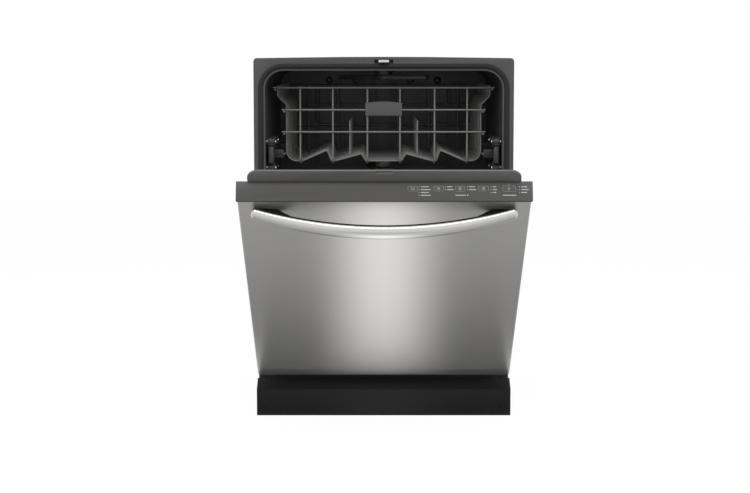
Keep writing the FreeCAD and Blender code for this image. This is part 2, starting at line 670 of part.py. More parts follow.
def ring(name, outer, inner, span, **place):
    """A disc with a round hole."""
    hole = rod(f"{name}_hole", "z", inner, (f"({span[0]}) - 1", f"({span[1]}) + 1"), **place)
    return cut(name, rod(f"{name}_disc", "z", outer, span, **place), hole)


def neck(name, low, high):
    return rod(name, "x", "neck_radius", (low, high), y="sump_y", z=PUMP_Z)


PUMP_Z = f"({SUMP_FOOT} + neck_radius + 2)"
PUMP_GAP = "(sump_radius + neck_length)"
bowl = cut("sump_bowl",
           fuse("sump_solid",
                rod("sump_outside", "z", "sump_radius + sump_wall", (SUMP_FOOT, UNDER), **AT_SUMP),
                rod("sump_rim_disc", "z", "sump_radius + sump_rim", (f"{UNDER} - 4", UNDER), **AT_SUMP),
                neck("pump_neck", "0", PUMP_GAP), neck("drain_neck", f"-{PUMP_GAP}", "0")),
           rod("sump_inside", "z", "sump_radius", (f"{SUMP_FOOT} + sump_wall", f"{UNDER} + 1"), **AT_SUMP))
hub = fuse("sump_hub",
           rod("hub_post", "z", HUB_RADIUS, (f"{SUMP_FOOT} + 1", ARM_LOW), **AT_SUMP),
           rod("hub_spindle", "z", SPINDLE, (ARM_LOW, f"{ARM_LOW} + arm_gauge + 4"), **AT_SUMP),
           rod("hub_nut", "z", "12", (f"{ARM_LOW} + arm_gauge + 0.6", f"{ARM_LOW} + arm_gauge + 5"),
               **AT_SUMP))
node("sump", fuse("sump_body", bowl, hub))
FILTER_X, FILTER_RADIUS = "filter_x", "filter_radius"
AT_FILTER = {"x": FILTER_X, "y": "sump_y"}
SIEVE = ("tub_floor", "tub_floor + 2")
sieve_holes = [rod("sieve_post_hole", "z", f"{HUB_RADIUS} + axle_play", ("tub_floor - 1", "tub_floor + 3"),
                   **AT_SUMP),
               rod("sieve_filter_hole", "z", f"{FILTER_RADIUS} + 0.4", ("tub_floor - 1", "tub_floor + 3"),
                   **AT_FILTER)]
node("filter_plate", cut("sieve", rod("sieve_disc", "z", "sump_radius + 7", SIEVE, **AT_SUMP), *sieve_holes))
FILTER_TOP = "(tub_floor + filter_rise)"
FILTER_BORE = "filter_radius - filter_wall"
CUP_FOOT = f"({SUMP_FOOT} + sump_wall)"
basket_tube = cut("filter_tube",
                  rod("filter_outside", "z", FILTER_RADIUS, (f"{CUP_FOOT} + 0.3", FILTER_TOP), **AT_FILTER),
                  rod("filter_inside", "z", FILTER_BORE, (f"{CUP_FOOT} + filter_wall", f"{FILTER_TOP} + 1"),
                      **AT_FILTER))
grip = box("filter_grip", (f"{FILTER_X} - {FILTER_RADIUS} + 1", f"{FILTER_X} + {FILTER_RADIUS} - 1"),
           ("sump_y - 2.5", "sump_y + 2.5"), (f"{FILTER_TOP} - 12", FILTER_TOP))
collar = ring("filter_collar", f"{FILTER_RADIUS} + 2.5", FILTER_BORE,
              ("tub_floor + 2.3", "tub_floor + 4.5"), **AT_FILTER)
node("filter_cylinder", fuse("filter_cup", basket_tube, grip, collar))
AT_FLOAT = {"x": FLOAT_X, "y": FLOAT_Y}
node("float", fuse("float_dome",
                   rod("float_cap", "z", "float_radius", ("tub_floor + 0.3", "tub_floor + float_height"),
                       **AT_FLOAT),
                   rod("float_stem", "z", STEM, (f"{UNDER} - 14", "tub_floor + 2"), **AT_FLOAT)))


# Cabinet: pumps, valve, junction box and heater

PAN_TOP = "(rail_top - 0.5)"
MOTOR_END = f"{PUMP_GAP} + motor_length"
motor = fuse("motor",
             rod("motor_case", "x", "motor_radius", (PUMP_GAP, MOTOR_END), y="sump_y", z=PUMP_Z),
             rod("motor_end", "x", "motor_cap", (MOTOR_END, f"{MOTOR_END} + motor_cap_length"), y="sump_y",
                 z=PUMP_Z),
             box("motor_foot", (f"{PUMP_GAP} + motor_length/6", f"{MOTOR_END} - motor_length/6"),
                 ("sump_y - motor_cap", "sump_y + motor_cap"), (PAN_TOP, f"{PUMP_Z} - 0.65*motor_radius")))
node("wash_pump_motor", motor)
DRAIN_X = f"-({PUMP_GAP} + drain_length/2)"
DRAIN_SPAN = (f"-({PUMP_GAP} + drain_length)", f"-{PUMP_GAP}")
drain = fuse("drain",
             rod("drain_case", "x", "drain_radius", DRAIN_SPAN, y="sump_y", z=PUMP_Z),
             rod("drain_spout", "y", "drain_port", ("sump_y", "sump_y + drain_reach"), x=DRAIN_X, z=PUMP_Z),
             box("drain_foot", (f"{DRAIN_SPAN[0]} + drain_length/7", f"{DRAIN_SPAN[1]} - drain_length/7"),
                 ("sump_y - 2*drain_radius/3", "sump_y + 2*drain_radius/3"),
                 (PAN_TOP, f"{PUMP_Z} - drain_radius/2")))
node("drain_pump", drain)
VALVE_Y = "(bracket_leg_y + 20)"
VALVE_X = f"({RAIL_IN} - valve_half - sheet_gauge)"
VALVE_TOP = f"{PAN_TOP} + valve_height"
PORT_Z = f"{PAN_TOP} + valve_height/2"
valve = fuse("valve",
             box("valve_body", (f"-({VALVE_X} + valve_half)", f"-({VALVE_X} - valve_half)"),
                 (VALVE_Y, f"{VALVE_Y} + valve_depth"), (PAN_TOP, VALVE_TOP)),
             rod("valve_inlet", "y", "valve_port", (f"{VALVE_Y} - valve_reach", VALVE_Y), x=f"-{VALVE_X}",
                 z=PORT_Z),
             rod("valve_coil", "z", "coil_radius", (VALVE_TOP, f"{VALVE_TOP} + coil_height"), x=f"-{VALVE_X}",
                 y=f"{VALVE_Y} + valve_depth/2"))
node("inlet_valve", valve)
terminal = ((f"{VALVE_X} - valve_half", f"{VALVE_X} + valve_half"), (VALVE_Y, f"{VALVE_Y} + terminal_depth"),
            (PAN_TOP, VALVE_TOP))
terminal_box = cut("terminal_box",
                   box("terminal_case", *terminal),
                   box("terminal_room", *[shrunk(span, "sheet_gauge") for span in terminal]),
                   rod("knockout", "y", "terminal_hole", (f"{VALVE_Y} - 1", f"{VALVE_Y} + sheet_gauge + 1"),
                       x=VALVE_X, z=PORT_Z))
node("junction_box", terminal_box)


def straight(start, end, radius):
    return Part.makeCylinder(radius, start.distanceToPoint(end), start, end - start)


def elbow(start, end, heading, radius):
    """A bend of a round bar, from one place to another."""
    return tube(Part.Wire([arc_edge(start, heading, end)]), radius)


def bent(corners, bends, radius):
    """A round bar along straight runs, with an arc of its own radius at each corner."""
    edges = []
    last = corners[0]
    for before, corner, after, bend in zip(corners, corners[1:], corners[2:], bends):
        come = (corner - before).normalize()
        leave = (after - corner).normalize()
        half = math.acos(come.dot(leave)) / 2
        start = corner - come * (bend * math.tan(half))
        end = corner + leave * (bend * math.tan(half))
        middle = corner + (leave - come).normalize() * (bend / math.cos(half) - bend)
        edges += [Part.makeLine(last, start), Part.Arc(start, middle, end).toShape()]
        last = end
    edges.append(Part.makeLine(last, corners[-1]))
    return tube(Part.Wire(edges), radius)


heater_r, heater_half, heater_gap = val("heater_radius"), val("heater_half"), val("heater_gap")
heater_z, heater_turn, heater_bend = val("tub_floor + heater_lift"), val("heater_turn"), val("heater_bend")
heater_front, heater_back = val("heater_front"), val("2*sump_y - heater_front")
turn_x = heater_half - heater_turn
BACKWARDS, UPWARDS = Vector(0, 1, 0), Vector(0, 0, 1)
stem_foot = Vector(heater_gap, heater_front, val(f"{UNDER} - 3*heater_radius"))
stem_top = Vector(heater_gap, heater_front, heater_z - heater_bend)
run_start = Vector(heater_gap + heater_bend, heater_front, heater_z)
front_turn = [Vector(turn_x, heater_front, heater_z), Vector(heater_half, heater_front + heater_turn, heater_z)]
back_turn = [Vector(heater_half, heater_back - heater_turn, heater_z), Vector(turn_x, heater_back, heater_z)]
heater = twins([straight(stem_foot, stem_top, heater_r), elbow(stem_top, run_start, UPWARDS, heater_r),
                straight(run_start, front_turn[0], heater_r), elbow(*front_turn, ACROSS, heater_r),
                straight(front_turn[1], back_turn[0], heater_r), elbow(*back_turn, BACKWARDS, heater_r)])
heater.append(straight(Vector(-turn_x, heater_back, heater_z), back_turn[1], heater_r))
feature("heating_element", heater)


# Cabinet: feed tube and spray arms

FEED_Y = (f"{INNER_BACK} - feed_depth", INNER_BACK)
RUN_Z = (f"{CEILING} - 10", CEILING)
TOP_ARM = f"({CEILING} - 22)"


def spindle(name, high, nut):
    """A downward shaft with a flange under the arm that spins on it."""
    return [rod(f"{name}_shaft", "z", SPINDLE, (f"{nut} - 3", high), **AT_SUMP),
            rod(f"{name}_flange", "z", "12", (f"{nut} - 3.6", f"{nut} - 0.6"), **AT_SUMP)]


node("feed_tube", fuse("feed",
                       box("feed_riser", across("feed_width/2"), FEED_Y, ("tub_floor", CEILING)),
                       box("feed_run", across("feed_width/2"), ("sump_y", FEED_Y[1]), RUN_Z),
                       rod("feed_hub", "z", "22", RUN_Z, **AT_SUMP),
                       *spindle("feed", f"{CEILING} - 9", TOP_ARM)))


def spray_arm(label, low, reach, angle):
    """Two tapering blades about a hub, turned about the hub's axis."""
    high = f"{low} + arm_gauge"
    body = doc.addObject("PartDesign::Body", f"{label}_body")
    half = "arm_half"
    points = [(f"-({reach})", f"-0.6*{half}"), ("0", f"-1.4*{half}"), (reach, f"-0.6*{half}"),
              (reach, f"0.6*{half}"), ("0", f"1.4*{half}"), (f"-({reach})", f"0.6*{half}")]
    pad = body.newObject("PartDesign::Pad", f"{label}_pad")
    pad.Profile = outline(body, f"{label}_outline", "XY_Plane", points)
    bind(pad, "Length", "arm_gauge")
    boss = rod(f"{label}_boss", "z", "1.7*arm_half", ("0", "arm_gauge"), x="0", y="0")
    bore = rod(f"{label}_bore", "z", f"{SPINDLE} + axle_play", ("-1", "arm_gauge + 1"), x="0", y="0")
    piece = cut(f"{label}_bored", fuse(f"{label}_solid", body, boss), bore)
    piece.Placement = Placement(Vector(), Rotation(Vector(0, 0, 1), angle))
    bind(piece, "Placement.Base.y", "sump_y")
    bind(piece, "Placement.Base.z", low)
    node(label, piece)


spray_arm("top_spray_arm", TOP_ARM, "top_arm", 152)
spray_arm("lower_spray_arm", f"{ARM_LOW} + 0.3", "low_arm", 25)


# Cabinet: rollers for the upper rack, on pins in the tub's walls

ROLLER_OUT = f"({WALL} - pin_collar)"
ROLLER_IN = f"({ROLLER_OUT} - roller_width)"
ROLLER_UP = "rail_height/2 + rail_play + roller_core"
pins = []
for row, row_y in (("front", "roller_front_y"), ("rear", "roller_back_y")):
    for level, level_z in (("upper", f"rail_z + {ROLLER_UP}"), ("lower", f"rail_z - ({ROLLER_UP})")):
        name = f"roller_{row}_{level}"
        at = {"y": row_y, "z": level_z}
        wheel = fuse(f"{name}_wheel",
                     rod(f"{name}_core", "x", "roller_core", (ROLLER_IN, ROLLER_OUT), **at),
                     rod(f"{name}_lip", "x", "roller_rim", (ROLLER_IN, f"{ROLLER_IN} + roller_lip"), **at),
                     rod(f"{name}_rim", "x", "roller_rim", (f"{ROLLER_OUT} - roller_lip", ROLLER_OUT), **at))
        bore = rod(f"{name}_bore", "x", "roller_pin + axle_play", (f"{ROLLER_IN} - 1", f"{ROLLER_OUT} + 1"),
                   **at)
        node(name, pair(f"{name}_wheels", cut(f"{name}_bored", wheel, bore)))
        pins += [fuse(f"{name}_pin",
                      rod(f"{name}_shaft", "x", "roller_pin", (f"{ROLLER_IN} - 1", WALL), **at),
                      rod(f"{name}_head", "x", "roller_pin + 2", (f"{ROLLER_IN} - 2.2", f"{ROLLER_IN} - 0.3"),
                          **at),
                      rod(f"{name}_collar", "x", "roller_pin + 2", (f"{ROLLER_OUT} + 0.3", WALL), **at))]
right_pins = group("right_pins", *pins)
node("roller_pins", pair("all_pins", right_pins))


# Cabinet: latch and countertop brackets

SHELL_TOP = f"({CEILING} + tub_wall)"
FLANGE_BACK = f"({FACE} + flange_depth)"
PIVOT_Y = f"({FLANGE_BACK} + 21)"
trunnion_hole = rod("latch_hole", "x", "2.58", across("20"), y=PIVOT_Y, z=STRIKE_Z)
housing = cut("latch_case",
              box("latch_block", across("strike_width/2 + 9"), (FLANGE_BACK, f"{FLANGE_BACK} + 36"),
                  (SHELL_TOP, "tub_top - 0.5")),
              box("latch_room", across("hook_width/2 + 2"), (f"{FLANGE_BACK} - 1", f"{FLANGE_BACK} + 32"),
                  (f"{STRIKE_Z} - 7", f"{STRIKE_Z} + 6")),
              trunnion_hole)
node("latch_housing", housing)
HOOK_TIP = f"({FACE} - hook_reach)"
hook = fuse("hook",
            box("hook_blade", across("hook_width/2"), (HOOK_TIP, PIVOT_Y),
                (f"{STRIKE_Z} - hook_height/2", f"{STRIKE_Z} + hook_height/2")),
            box("hook_barb", across("hook_width/2"), (HOOK_TIP, f"{HOOK_TIP} + 5"),
                (STRIKE_Z, f"{STRIKE_Z} + hook_height/2 + 1.5")),
            rod("hook_barrel", "x", "4", across("hook_width/2"), y=PIVOT_Y, z=STRIKE_Z),
            rod("hook_trunnion", "x", "2.5", across("18"), y=PIVOT_Y, z=STRIKE_Z))
node("latch_hook", hook)
TAB_X = ("flange_width/3 - 15", "flange_width/3 + 15")
tab = cut("counter_tab",
          fuse("counter_bent",
               box("counter_leg", TAB_X, (FLANGE_BACK, f"{FLANGE_BACK} + 1.5"), (SHELL_TOP, "tub_top - 1.5")),
               box("counter_foot", TAB_X, (FLANGE_BACK, f"{FLANGE_BACK} + 32"),
                   ("tub_top - 3", "tub_top - 1.5"))),
          rod("counter_hole", "z", "2.5", ("tub_top - 5", "tub_top"), x="flange_width/3",
              y=f"{FLANGE_BACK} + 20"))
node("countertop_brackets", pair("counter_tabs", tab))


# Upper rack: rails, caps and brackets

RACK_RAIL_OUT = f"({ROLLER_OUT} - roller_lip - rail_play)"
RACK_RAIL_IN = f"({RACK_RAIL_OUT} - rail_depth)"
RACK_RAIL_Z = ("rail_z - rail_height/2", "rail_z + rail_height/2")
RACK_RAIL_Y = ("0", "rail_length")
rack_rail = cut("rack_rail",
                box("rack_rail_block", (RACK_RAIL_IN, RACK_RAIL_OUT), RACK_RAIL_Y, RACK_RAIL_Z),
                box("rack_rail_room", (f"{RACK_RAIL_IN} - 1", f"{RACK_RAIL_OUT} - rail_gauge"),
                    ("-1", "rail_length + 1"),
                    ("rail_z - rail_height/2 + rail_gauge", "rail_z + rail_height/2 - rail_gauge")))
node("upper_rails", pair("rack_rails", rack_rail))
rail_cap = box("rail_cap", (f"{RACK_RAIL_IN} - 1", f"{RACK_RAIL_OUT} + 1"), ("-cap_length", "0"),
               ("rail_z - rail_height/2 - 1", "rail_z + rail_height/2 + 1"))
node("rail_caps", pair("both_rail_caps", rail_cap))
bracket_x = (f"{RACK_RAIL_IN} - rack_gap + weld", f"{RACK_RAIL_OUT} - rail_gauge")
rack_brackets = [box(f"rack_bracket_{row}", bracket_x, (f"{place} - 15", f"{place} + 15"),
                     ("rail_z - 10", "rail_z + 10"))
                 for row, place in (("front", "75"), ("rear", "rail_length - 50"))]
right_brackets = group("right_rack_brackets", *rack_brackets)
node("rail_brackets", pair("rack_brackets", right_brackets))


# Racks of welded wire

WIRE_STEP = "(2*wire + weld)"
RACK_BACK = f"({FEED_Y[0]} - rack_dock)"
UPPER_SIDE = f"({RACK_RAIL_IN} - rack_gap - wire - {WIRE_STEP})"
RACK_TOP = "(rail_z + rack_lift)"
RACK_FLOOR = f"({RACK_TOP} - rack_deep)"
RACK_FRONT = f"({RACK_BACK} - rack_depth)"


def spread(first, last, count):
    return [first + (last - first) * step / (count - 1) for step in range(count)]


def hill(start, end, height, stop):
    """A ridge in a hoop's floor: places across the rack, and heights above the floor."""
    lead, run = val("hill_lead"), val("hill_run")
    return [(start, 0), (start + lead, 0), (start + lead + run, val(height)), (end - lead, 0), (stop, 0)]


def wire_basket(side, flare, top, floor, front, back, crosses, lengthwise, rails, hills=()):
    """Hoops across, long wires under them that rise at both ends, and rails round the outside.
    A wire is straight runs and bends, each a solid of its own."""
    radius, step = val("wire"), val(WIRE_STEP)
    bend, curl = val("hoop_bend"), val("long_bend")
    side, flare, top, floor, front, back = [val(text) for text in (side, flare, top, floor, front, back)]
    low = floor - step
    foot = side - bend
    over = radius + val("rail_over")
    neck_z = top - 2.5 * bend
    solids = []
    for y in spread(front + bend / 2, back - bend / 2, crosses):
        shoulder = Vector(side, y, neck_z if flare else top + 5)
        knee = Vector(side, y, floor + bend)
        hoop = [straight(shoulder, knee, radius), elbow(knee, Vector(foot, y, floor), Vector(0, 0, -1), radius)]
        if flare:
            lip = [Vector(side + flare, y, top + 5), Vector(side + flare, y, top - val("flare_top")),
                   Vector(side, y, top - val("flare_foot")), shoulder]
            hoop.append(bent(lip, [bend / 2, bend / 2], radius))
        for ridge in hills:
            crest = [Vector(x, y, floor + lift) for x, lift in ridge]
            hoop.append(bent(crest, [val("hill_bend")] * (len(ridge) - 2), radius))
        solids += twins(hoop)
        level = hills[0][0][0] if hills else foot
        solids.append(straight(Vector(-level, y, floor), Vector(level, y, floor), radius))
    for x in lengthwise:
        runs = []
        for end, inward in ((front, 1), (back, -1)):
            knee, toe = Vector(x, end, low + curl), Vector(x, end + inward * curl, low)
            runs += [straight(Vector(x, end, top + 3), knee, radius),
                     elbow(knee, toe, Vector(0, 0, -1), radius)]
        runs.append(straight(Vector(x, front + curl, low), Vector(x, back - curl, low), radius))
        solids += twins(runs)
    for height in rails:
        half = side + step + (flare if height == 0 else 0)
        z = top - height
        for y in (front - step, back + step):
            solids.append(straight(Vector(-half - over, y, z), Vector(half + over, y, z), radius))
        solids += twins([straight(Vector(half, front - step - over, z - step),
                                  Vector(half, back + step + over, z - step), radius)])
    return solids


def tines(rows, floor, front, back, crosses, height):
    """Upright pins on the hoops."""
    radius = val("wire")
    foot = val(f"{floor} + wire + weld")
    return [straight(Vector(x, y, foot), Vector(x, y, foot + val(height)), 0.8 * radius)
            for y in spread(val(f"{front} + hoop_bend/2"), val(f"{back} - hoop_bend/2"), crosses)
            for x in rows]


def long_wires(side, near, step, far):
    """Where the long wires of a rack's right half lie."""
    return [val(text) for text in (near, f"{side} - {far} - {step}", f"{side} - {far}")]


near, middle, far = long_wires(UPPER_SIDE, "long_near", "long_step", "long_far")
ridges = [hill(near, middle, "hill_inner", middle),
          hill(middle, far, "hill_outer", val(f"{UPPER_SIDE} - hoop_bend"))]
upper = wire_basket(UPPER_SIDE, "rack_flare", RACK_TOP, RACK_FLOOR, RACK_FRONT, RACK_BACK, 8,
                    (near, middle, far), [step * val("rack_rails") for step in range(3)], ridges)
crest, slope_end = ridges[0][2][0], ridges[0][3][0]
tine_lift = val("hill_inner") * (slope_end - val("tine_side")) / (slope_end - crest) + 0.3 * val("wire")
upper += tines((-val("tine_side"), val("tine_side")), f"{RACK_FLOOR} + {tine_lift}", RACK_FRONT, RACK_BACK, 8,
               "tine_height")
side_wire = Vector(val(f"{UPPER_SIDE} + {WIRE_STEP}"), val(f"{RACK_FRONT} - 4"), val("rail_z"))
side_end = Vector(side_wire.x, val(f"{RACK_BACK} + 4"), side_wire.z)
upper += twins([straight(side_wire, side_end, val("wire"))])
feature("upper_rack", upper)
RAIL_FRONT = f"({RACK_FRONT} - {WIRE_STEP} - wire - weld)"
badge_z = (f"{RACK_TOP} - badge_drop", f"{RACK_TOP} - badge_drop + badge_height + 4")
badge_radius = "(badge_width^2/4/8 + 2)"
badge = doc.addObject("Part::Common", "badge_arched")
badge.Base = box("badge_plate", across("badge_width/2"), (f"{RAIL_FRONT} - 2", RAIL_FRONT), badge_z)
badge.Tool = rod("badge_arc", "y", badge_radius, (f"{RAIL_FRONT} - 3", f"{RAIL_FRONT} + 1"), x="0",
                 z=f"{badge_z[1]} - {badge_radius}")
node("rack_badge", badge)
LONG_FOOT = f"({RACK_FLOOR} - {WIRE_STEP} - wire - weld)"
MID_FEED = (f"{LONG_FOOT} - 20", f"{LONG_FOOT} - 4")
MID_ARM = f"({LONG_FOOT} - 22 - arm_gauge)"
node("mid_spray_feed",
     fuse("mid_feed",
          box("mid_feed_run", across("arm_half"), ("sump_y", f"{FEED_Y[0]} - 1"), MID_FEED),
          box("mid_feed_clip", across("44"), ("sump_y + 40", "sump_y + 70"), (f"{LONG_FOOT} - 6", LONG_FOOT)),
          box("mid_feed_dock", across("44"), ("sump_y + 170", "sump_y + 200"), (f"{LONG_FOOT} - 6", LONG_FOOT)),
          rod("mid_feed_hub", "z", "20", MID_FEED, **AT_SUMP),
          *spindle("mid_feed", f"{LONG_FOOT} - 10", MID_ARM)))
spray_arm("mid_spray_arm", MID_ARM, "mid_arm", 100)


# Lower rack: wire basket, wheels and cutlery basket

LOWER_SIDE = f"({WALL} - lower_gap - wire - {WIRE_STEP})"
AXLE_Z = "(tub_floor + wheel_radius + rail_play)"
LOWER_FLOOR = f"({AXLE_Z} + lower_lift)"
LOWER_TOP = f"({LOWER_FLOOR} + lower_deep)"
LOWER_FRONT = f"({RACK_BACK} - lower_depth)"
lower = wire_basket(LOWER_SIDE, "0", LOWER_TOP, LOWER_FLOOR, LOWER_FRONT, RACK_BACK, 9,
                    long_wires(LOWER_SIDE, "lower_near", "lower_step", "lower_far"),
                    [val(f"lower_rail_top + {step}*lower_rails") for step in range(3)])
lower += tines([step * val("lower_tine_step") for step in (-2.5, -1.5, -0.5, 0.5)], LOWER_FLOOR, LOWER_FRONT,
               RACK_BACK, 9, "lower_tine")
feature("lower_rack", lower)
HANGER = (f"{WALL} - lower_gap + weld", f"{WALL} - lower_gap + weld + hanger_gauge")
WHEEL = (f"{HANGER[1]} + 1.3", f"{HANGER[1]} + 1.3 + wheel_width")
HANGER_TOP = f"({LOWER_TOP} - lower_rail_top - 2*lower_rails + hanger_half)"
hangers = []
for row, place in (("front", "wheel_front_y"), ("rear", f"{RACK_BACK} - wheel_back_in")):
    at = {"y": place, "z": AXLE_Z}
    hangers.append(fuse(f"hanger_{row}",
                        box(f"hanger_{row}_plate", HANGER, (f"{place} - hanger_half", f"{place} + hanger_half"),
                            (f"{AXLE_Z} - 2.2*axle_radius", HANGER_TOP)),
                        rod(f"hanger_{row}_axle", "x", "axle_radius", (HANGER[0], f"{WHEEL[1]} + 1"), **at),
                        rod(f"hanger_{row}_head", "x", "axle_radius + 3",
                            (f"{WHEEL[1]} + 0.4", f"{WHEEL[1]} + 2.4"), **at)))
    tyre = cut(f"lower_{row}_wheel",
               rod(f"lower_{row}_disc", "x", "wheel_radius", WHEEL, **at),
               rod(f"lower_{row}_bore", "x", "axle_radius + axle_play", (f"{WHEEL[0]} - 1", f"{WHEEL[1]} + 1"),
                   **at))
    node(f"lower_{row}_wheels", pair(f"lower_{row}_pair", tyre))
right_hangers = group("right_hangers", *hangers)
node("lower_wheel_brackets", pair("all_hangers", right_hangers))
BASKET_X = (f"{LOWER_SIDE} - basket_side - basket_width", f"{LOWER_SIDE} - basket_side")
BASKET_Y = (f"{LOWER_FRONT} + 30", f"{LOWER_FRONT} + 30 + basket_length")
BASKET_FOOT = f"({LOWER_FLOOR} + wire + weld)"
BASKET_TOP = f"({BASKET_FOOT} + basket_height)"


cells = []
for number in range(3):
    start = f"{BASKET_Y[0]} + basket_wall + {number}*(basket_length - basket_wall)/3"
    cells.append(box(f"basket_cell_{'abc'[number]}", shrunk(BASKET_X, "basket_wall"),
                     (start, f"{start} + (basket_length - basket_wall)/3 - basket_wall"),
                     (f"{BASKET_FOOT} + basket_wall", f"{BASKET_TOP} + 1")))
basket_block = box("basket_block", BASKET_X, BASKET_Y, (BASKET_FOOT, BASKET_TOP))
node("cutlery_basket", cut("basket", basket_block, *cells))


# Door: panel and liner

LINER_TOP = f"(tub_top - top_gap - {HINGE_Z})"
CONSOLE_TOP = f"({LINER_TOP} - liner_upstand)"
PANEL_TOP = f"({CONSOLE_TOP} - console_rise - console_foot)"
STEEL = "(-door_front)"
PANEL_HALF = "(flange_width/2 - panel_inset)"
LINER_HALF = f"({WALL} + liner_lap)"
PLUG_HALF = f"({WALL} - plug_side)"
HANDLE_HALF = f"({PANEL_HALF} - handle_inset)"
STEEL_BACK = f"({STEEL} + panel_gauge)"
LINER = "(-liner_back)"
LINER_FRONT = f"({LINER} - liner_gauge)"
SKIRT = f"({LINER_FRONT} - liner_skirt)"
PLUG = f"({LINER} + plug_deep)"
PLUG_TOP = f"({CEILING} - plug_gap - {HINGE_Z})"
HANDLE_Z = f"({PANEL_TOP} - handle_below)"
HANDLE_Y = f"({STEEL} - handle_thick)"
FOOT_X = f"({HANDLE_HALF} - handle_foot_in)"
AT_FOOT = {"x": FOOT_X, "z": HANDLE_Z}
STUD = "handle_stud"
panel_sheet = cut(
    "panel_sheet",
    box("panel_block", across(PANEL_HALF), (STEEL, SKIRT), ("-panel_drop", PANEL_TOP)),
    box("panel_room", across(f"{PANEL_HALF} - panel_gauge"), (STEEL_BACK, f"{SKIRT} + 1"),
        ("-panel_drop + panel_gauge", f"{PANEL_TOP} + 1")))
foot_hole = rod("foot_hole", "y", STUD, (f"{STEEL} - 1", f"{STEEL_BACK} + 1"), **AT_FOOT)
panel_drilled = cut("panel_drilled", panel_sheet, foot_hole, mirror("foot_hole_twin", foot_hole))
door_node("door_panel", panel_drilled)
DISPENSER_X = ("dispenser_x - dispenser_width/2 + 5", "dispenser_x + dispenser_width/2 - 5")
DISPENSER_Z = ("dispenser_up - dispenser_height/2 + 3", "dispenser_up + dispenser_height/2 - 3")
KEEPER_Z = f"({STRIKE_Z} - {HINGE_Z})"
KEEPER = (across("strike_width/2"), (LINER_FRONT, f"{LINER} - 0.5"), (f"{KEEPER_Z} - 6", f"{KEEPER_Z} + 4.3"))
arm_slot = box("arm_slot", (f"{ARM_X[0]} - 2", f"{ARM_X[1]} + 2"), (f"{SKIRT} - 1", f"{LINER_FRONT} + 1"),
               across("45"))
liner_solid = fuse(
    "liner_solid",
    box("liner_skirt", across(PANEL_HALF), (SKIRT, LINER_FRONT), ("-panel_drop", PANEL_TOP)),
    slab("liner_plate", across(LINER_HALF), (LINER_FRONT, LINER), ("-liner_drop", LINER_TOP),
         "liner_round", above("0")),
    slab("liner_plug", across(PLUG_HALF), (LINER, PLUG), ("plug_foot", PLUG_TOP), "plug_round"))
plug_room = slab("plug_room", across(f"{PLUG_HALF} - liner_gauge"), (f"{SKIRT} - 1", f"{PLUG} - liner_gauge"),
                 ("plug_foot + liner_gauge", f"{PLUG_TOP} - liner_gauge"), "plug_round - liner_gauge")
liner = cut("liner_cut", liner_solid, plug_room, arm_slot, mirror("arm_slot_twin", arm_slot),
            box("dispenser_hole", DISPENSER_X, (f"{SKIRT} - 1", f"{PLUG} + 1"), DISPENSER_Z),
            box("keeper_hole", KEEPER[0], (f"{LINER_FRONT} - 1", f"{LINER} + 1"), KEEPER[2]))
door_node("door_liner", liner)
keeper_slot = box("keeper_slot", across("hook_width/2 + 6"), (f"{LINER_FRONT} - 1", f"{LINER} + 1"),
                  (f"{KEEPER_Z} - 4", f"{KEEPER_Z} + 4"))
door_node("door_keeper", cut("keeper", box("keeper_plate", *KEEPER), keeper_slot))
door_node("door_sill_seal", box("sill_strip", across(f"{WALL} - 8"), (LINER, f"{LINER} + 4"), ("-22", "-9.5")))


# Door: console, keys and board

LIP = f"({STEEL} - console_lip)"
SLOPE_FOOT = f"({PANEL_TOP} + console_foot)"
SLOPE = "sqrt(console_rise^2 + console_rake^2)"
WALL_IN = f"({LINER_FRONT} - console_wall)"
CONSOLE_HALF = f"({PANEL_HALF} + console_over)"
ceiling = f"{CONSOLE_TOP} - console_wall"
outer = [(LIP, PANEL_TOP), (LIP, SLOPE_FOOT), (f"{LIP} + console_rake", CONSOLE_TOP),
         (LINER_FRONT, CONSOLE_TOP), (LINER_FRONT, PANEL_TOP)]
inner = [(f"{LIP} + console_wall", f"{PANEL_TOP} + console_wall"),
         (f"{LIP} + console_wall", f"{SLOPE_FOOT} + console_wall*(console_rise - {SLOPE})/console_rake"),
         (f"{LIP} + console_rake + console_wall*({SLOPE} - console_rake)/console_rise", ceiling),
         (WALL_IN, ceiling), (WALL_IN, f"{PANEL_TOP} + console_wall")]


def tilted(name, x, depth, up):
    """A block square to the console's sloping face: depth is into the face, up is along it."""
    piece = doc.addObject("Part::Box", name)
    piece.Placement = Placement(Vector(), Rotation(Vector(-1, 0, 0), 1))
    for prop, (low, high) in zip(("Length", "Width", "Height"), (x, depth, up)):
        bind(piece, prop, f"({high}) - ({low})")
    bind(piece, "Placement.Rotation.Angle", "atan(console_rake/console_rise)")
    bind(piece, "Placement.Base.x", x[0])
    bind(piece, "Placement.Base.y", f"{LIP} + (({depth[0]})*console_rise + ({up[0]})*console_rake)/{SLOPE}")
    bind(piece, "Placement.Base.z",
         f"{SLOPE_FOOT} + (({up[0]})*console_rise - ({depth[0]})*console_rake)/{SLOPE}")
    return piece


def key_block(name, key, margin, depth):
    """A block in line with a key, wider than it by a margin all round."""
    label, middle, width, height = key
    return tilted(f"{label}_{name}", (f"{middle} - {width}/2 - {margin}", f"{middle} + {width}/2 + {margin}"),
                  depth, (f"key_up - {height}/2 - {margin}", f"key_up + {height}/2 + {margin}"))


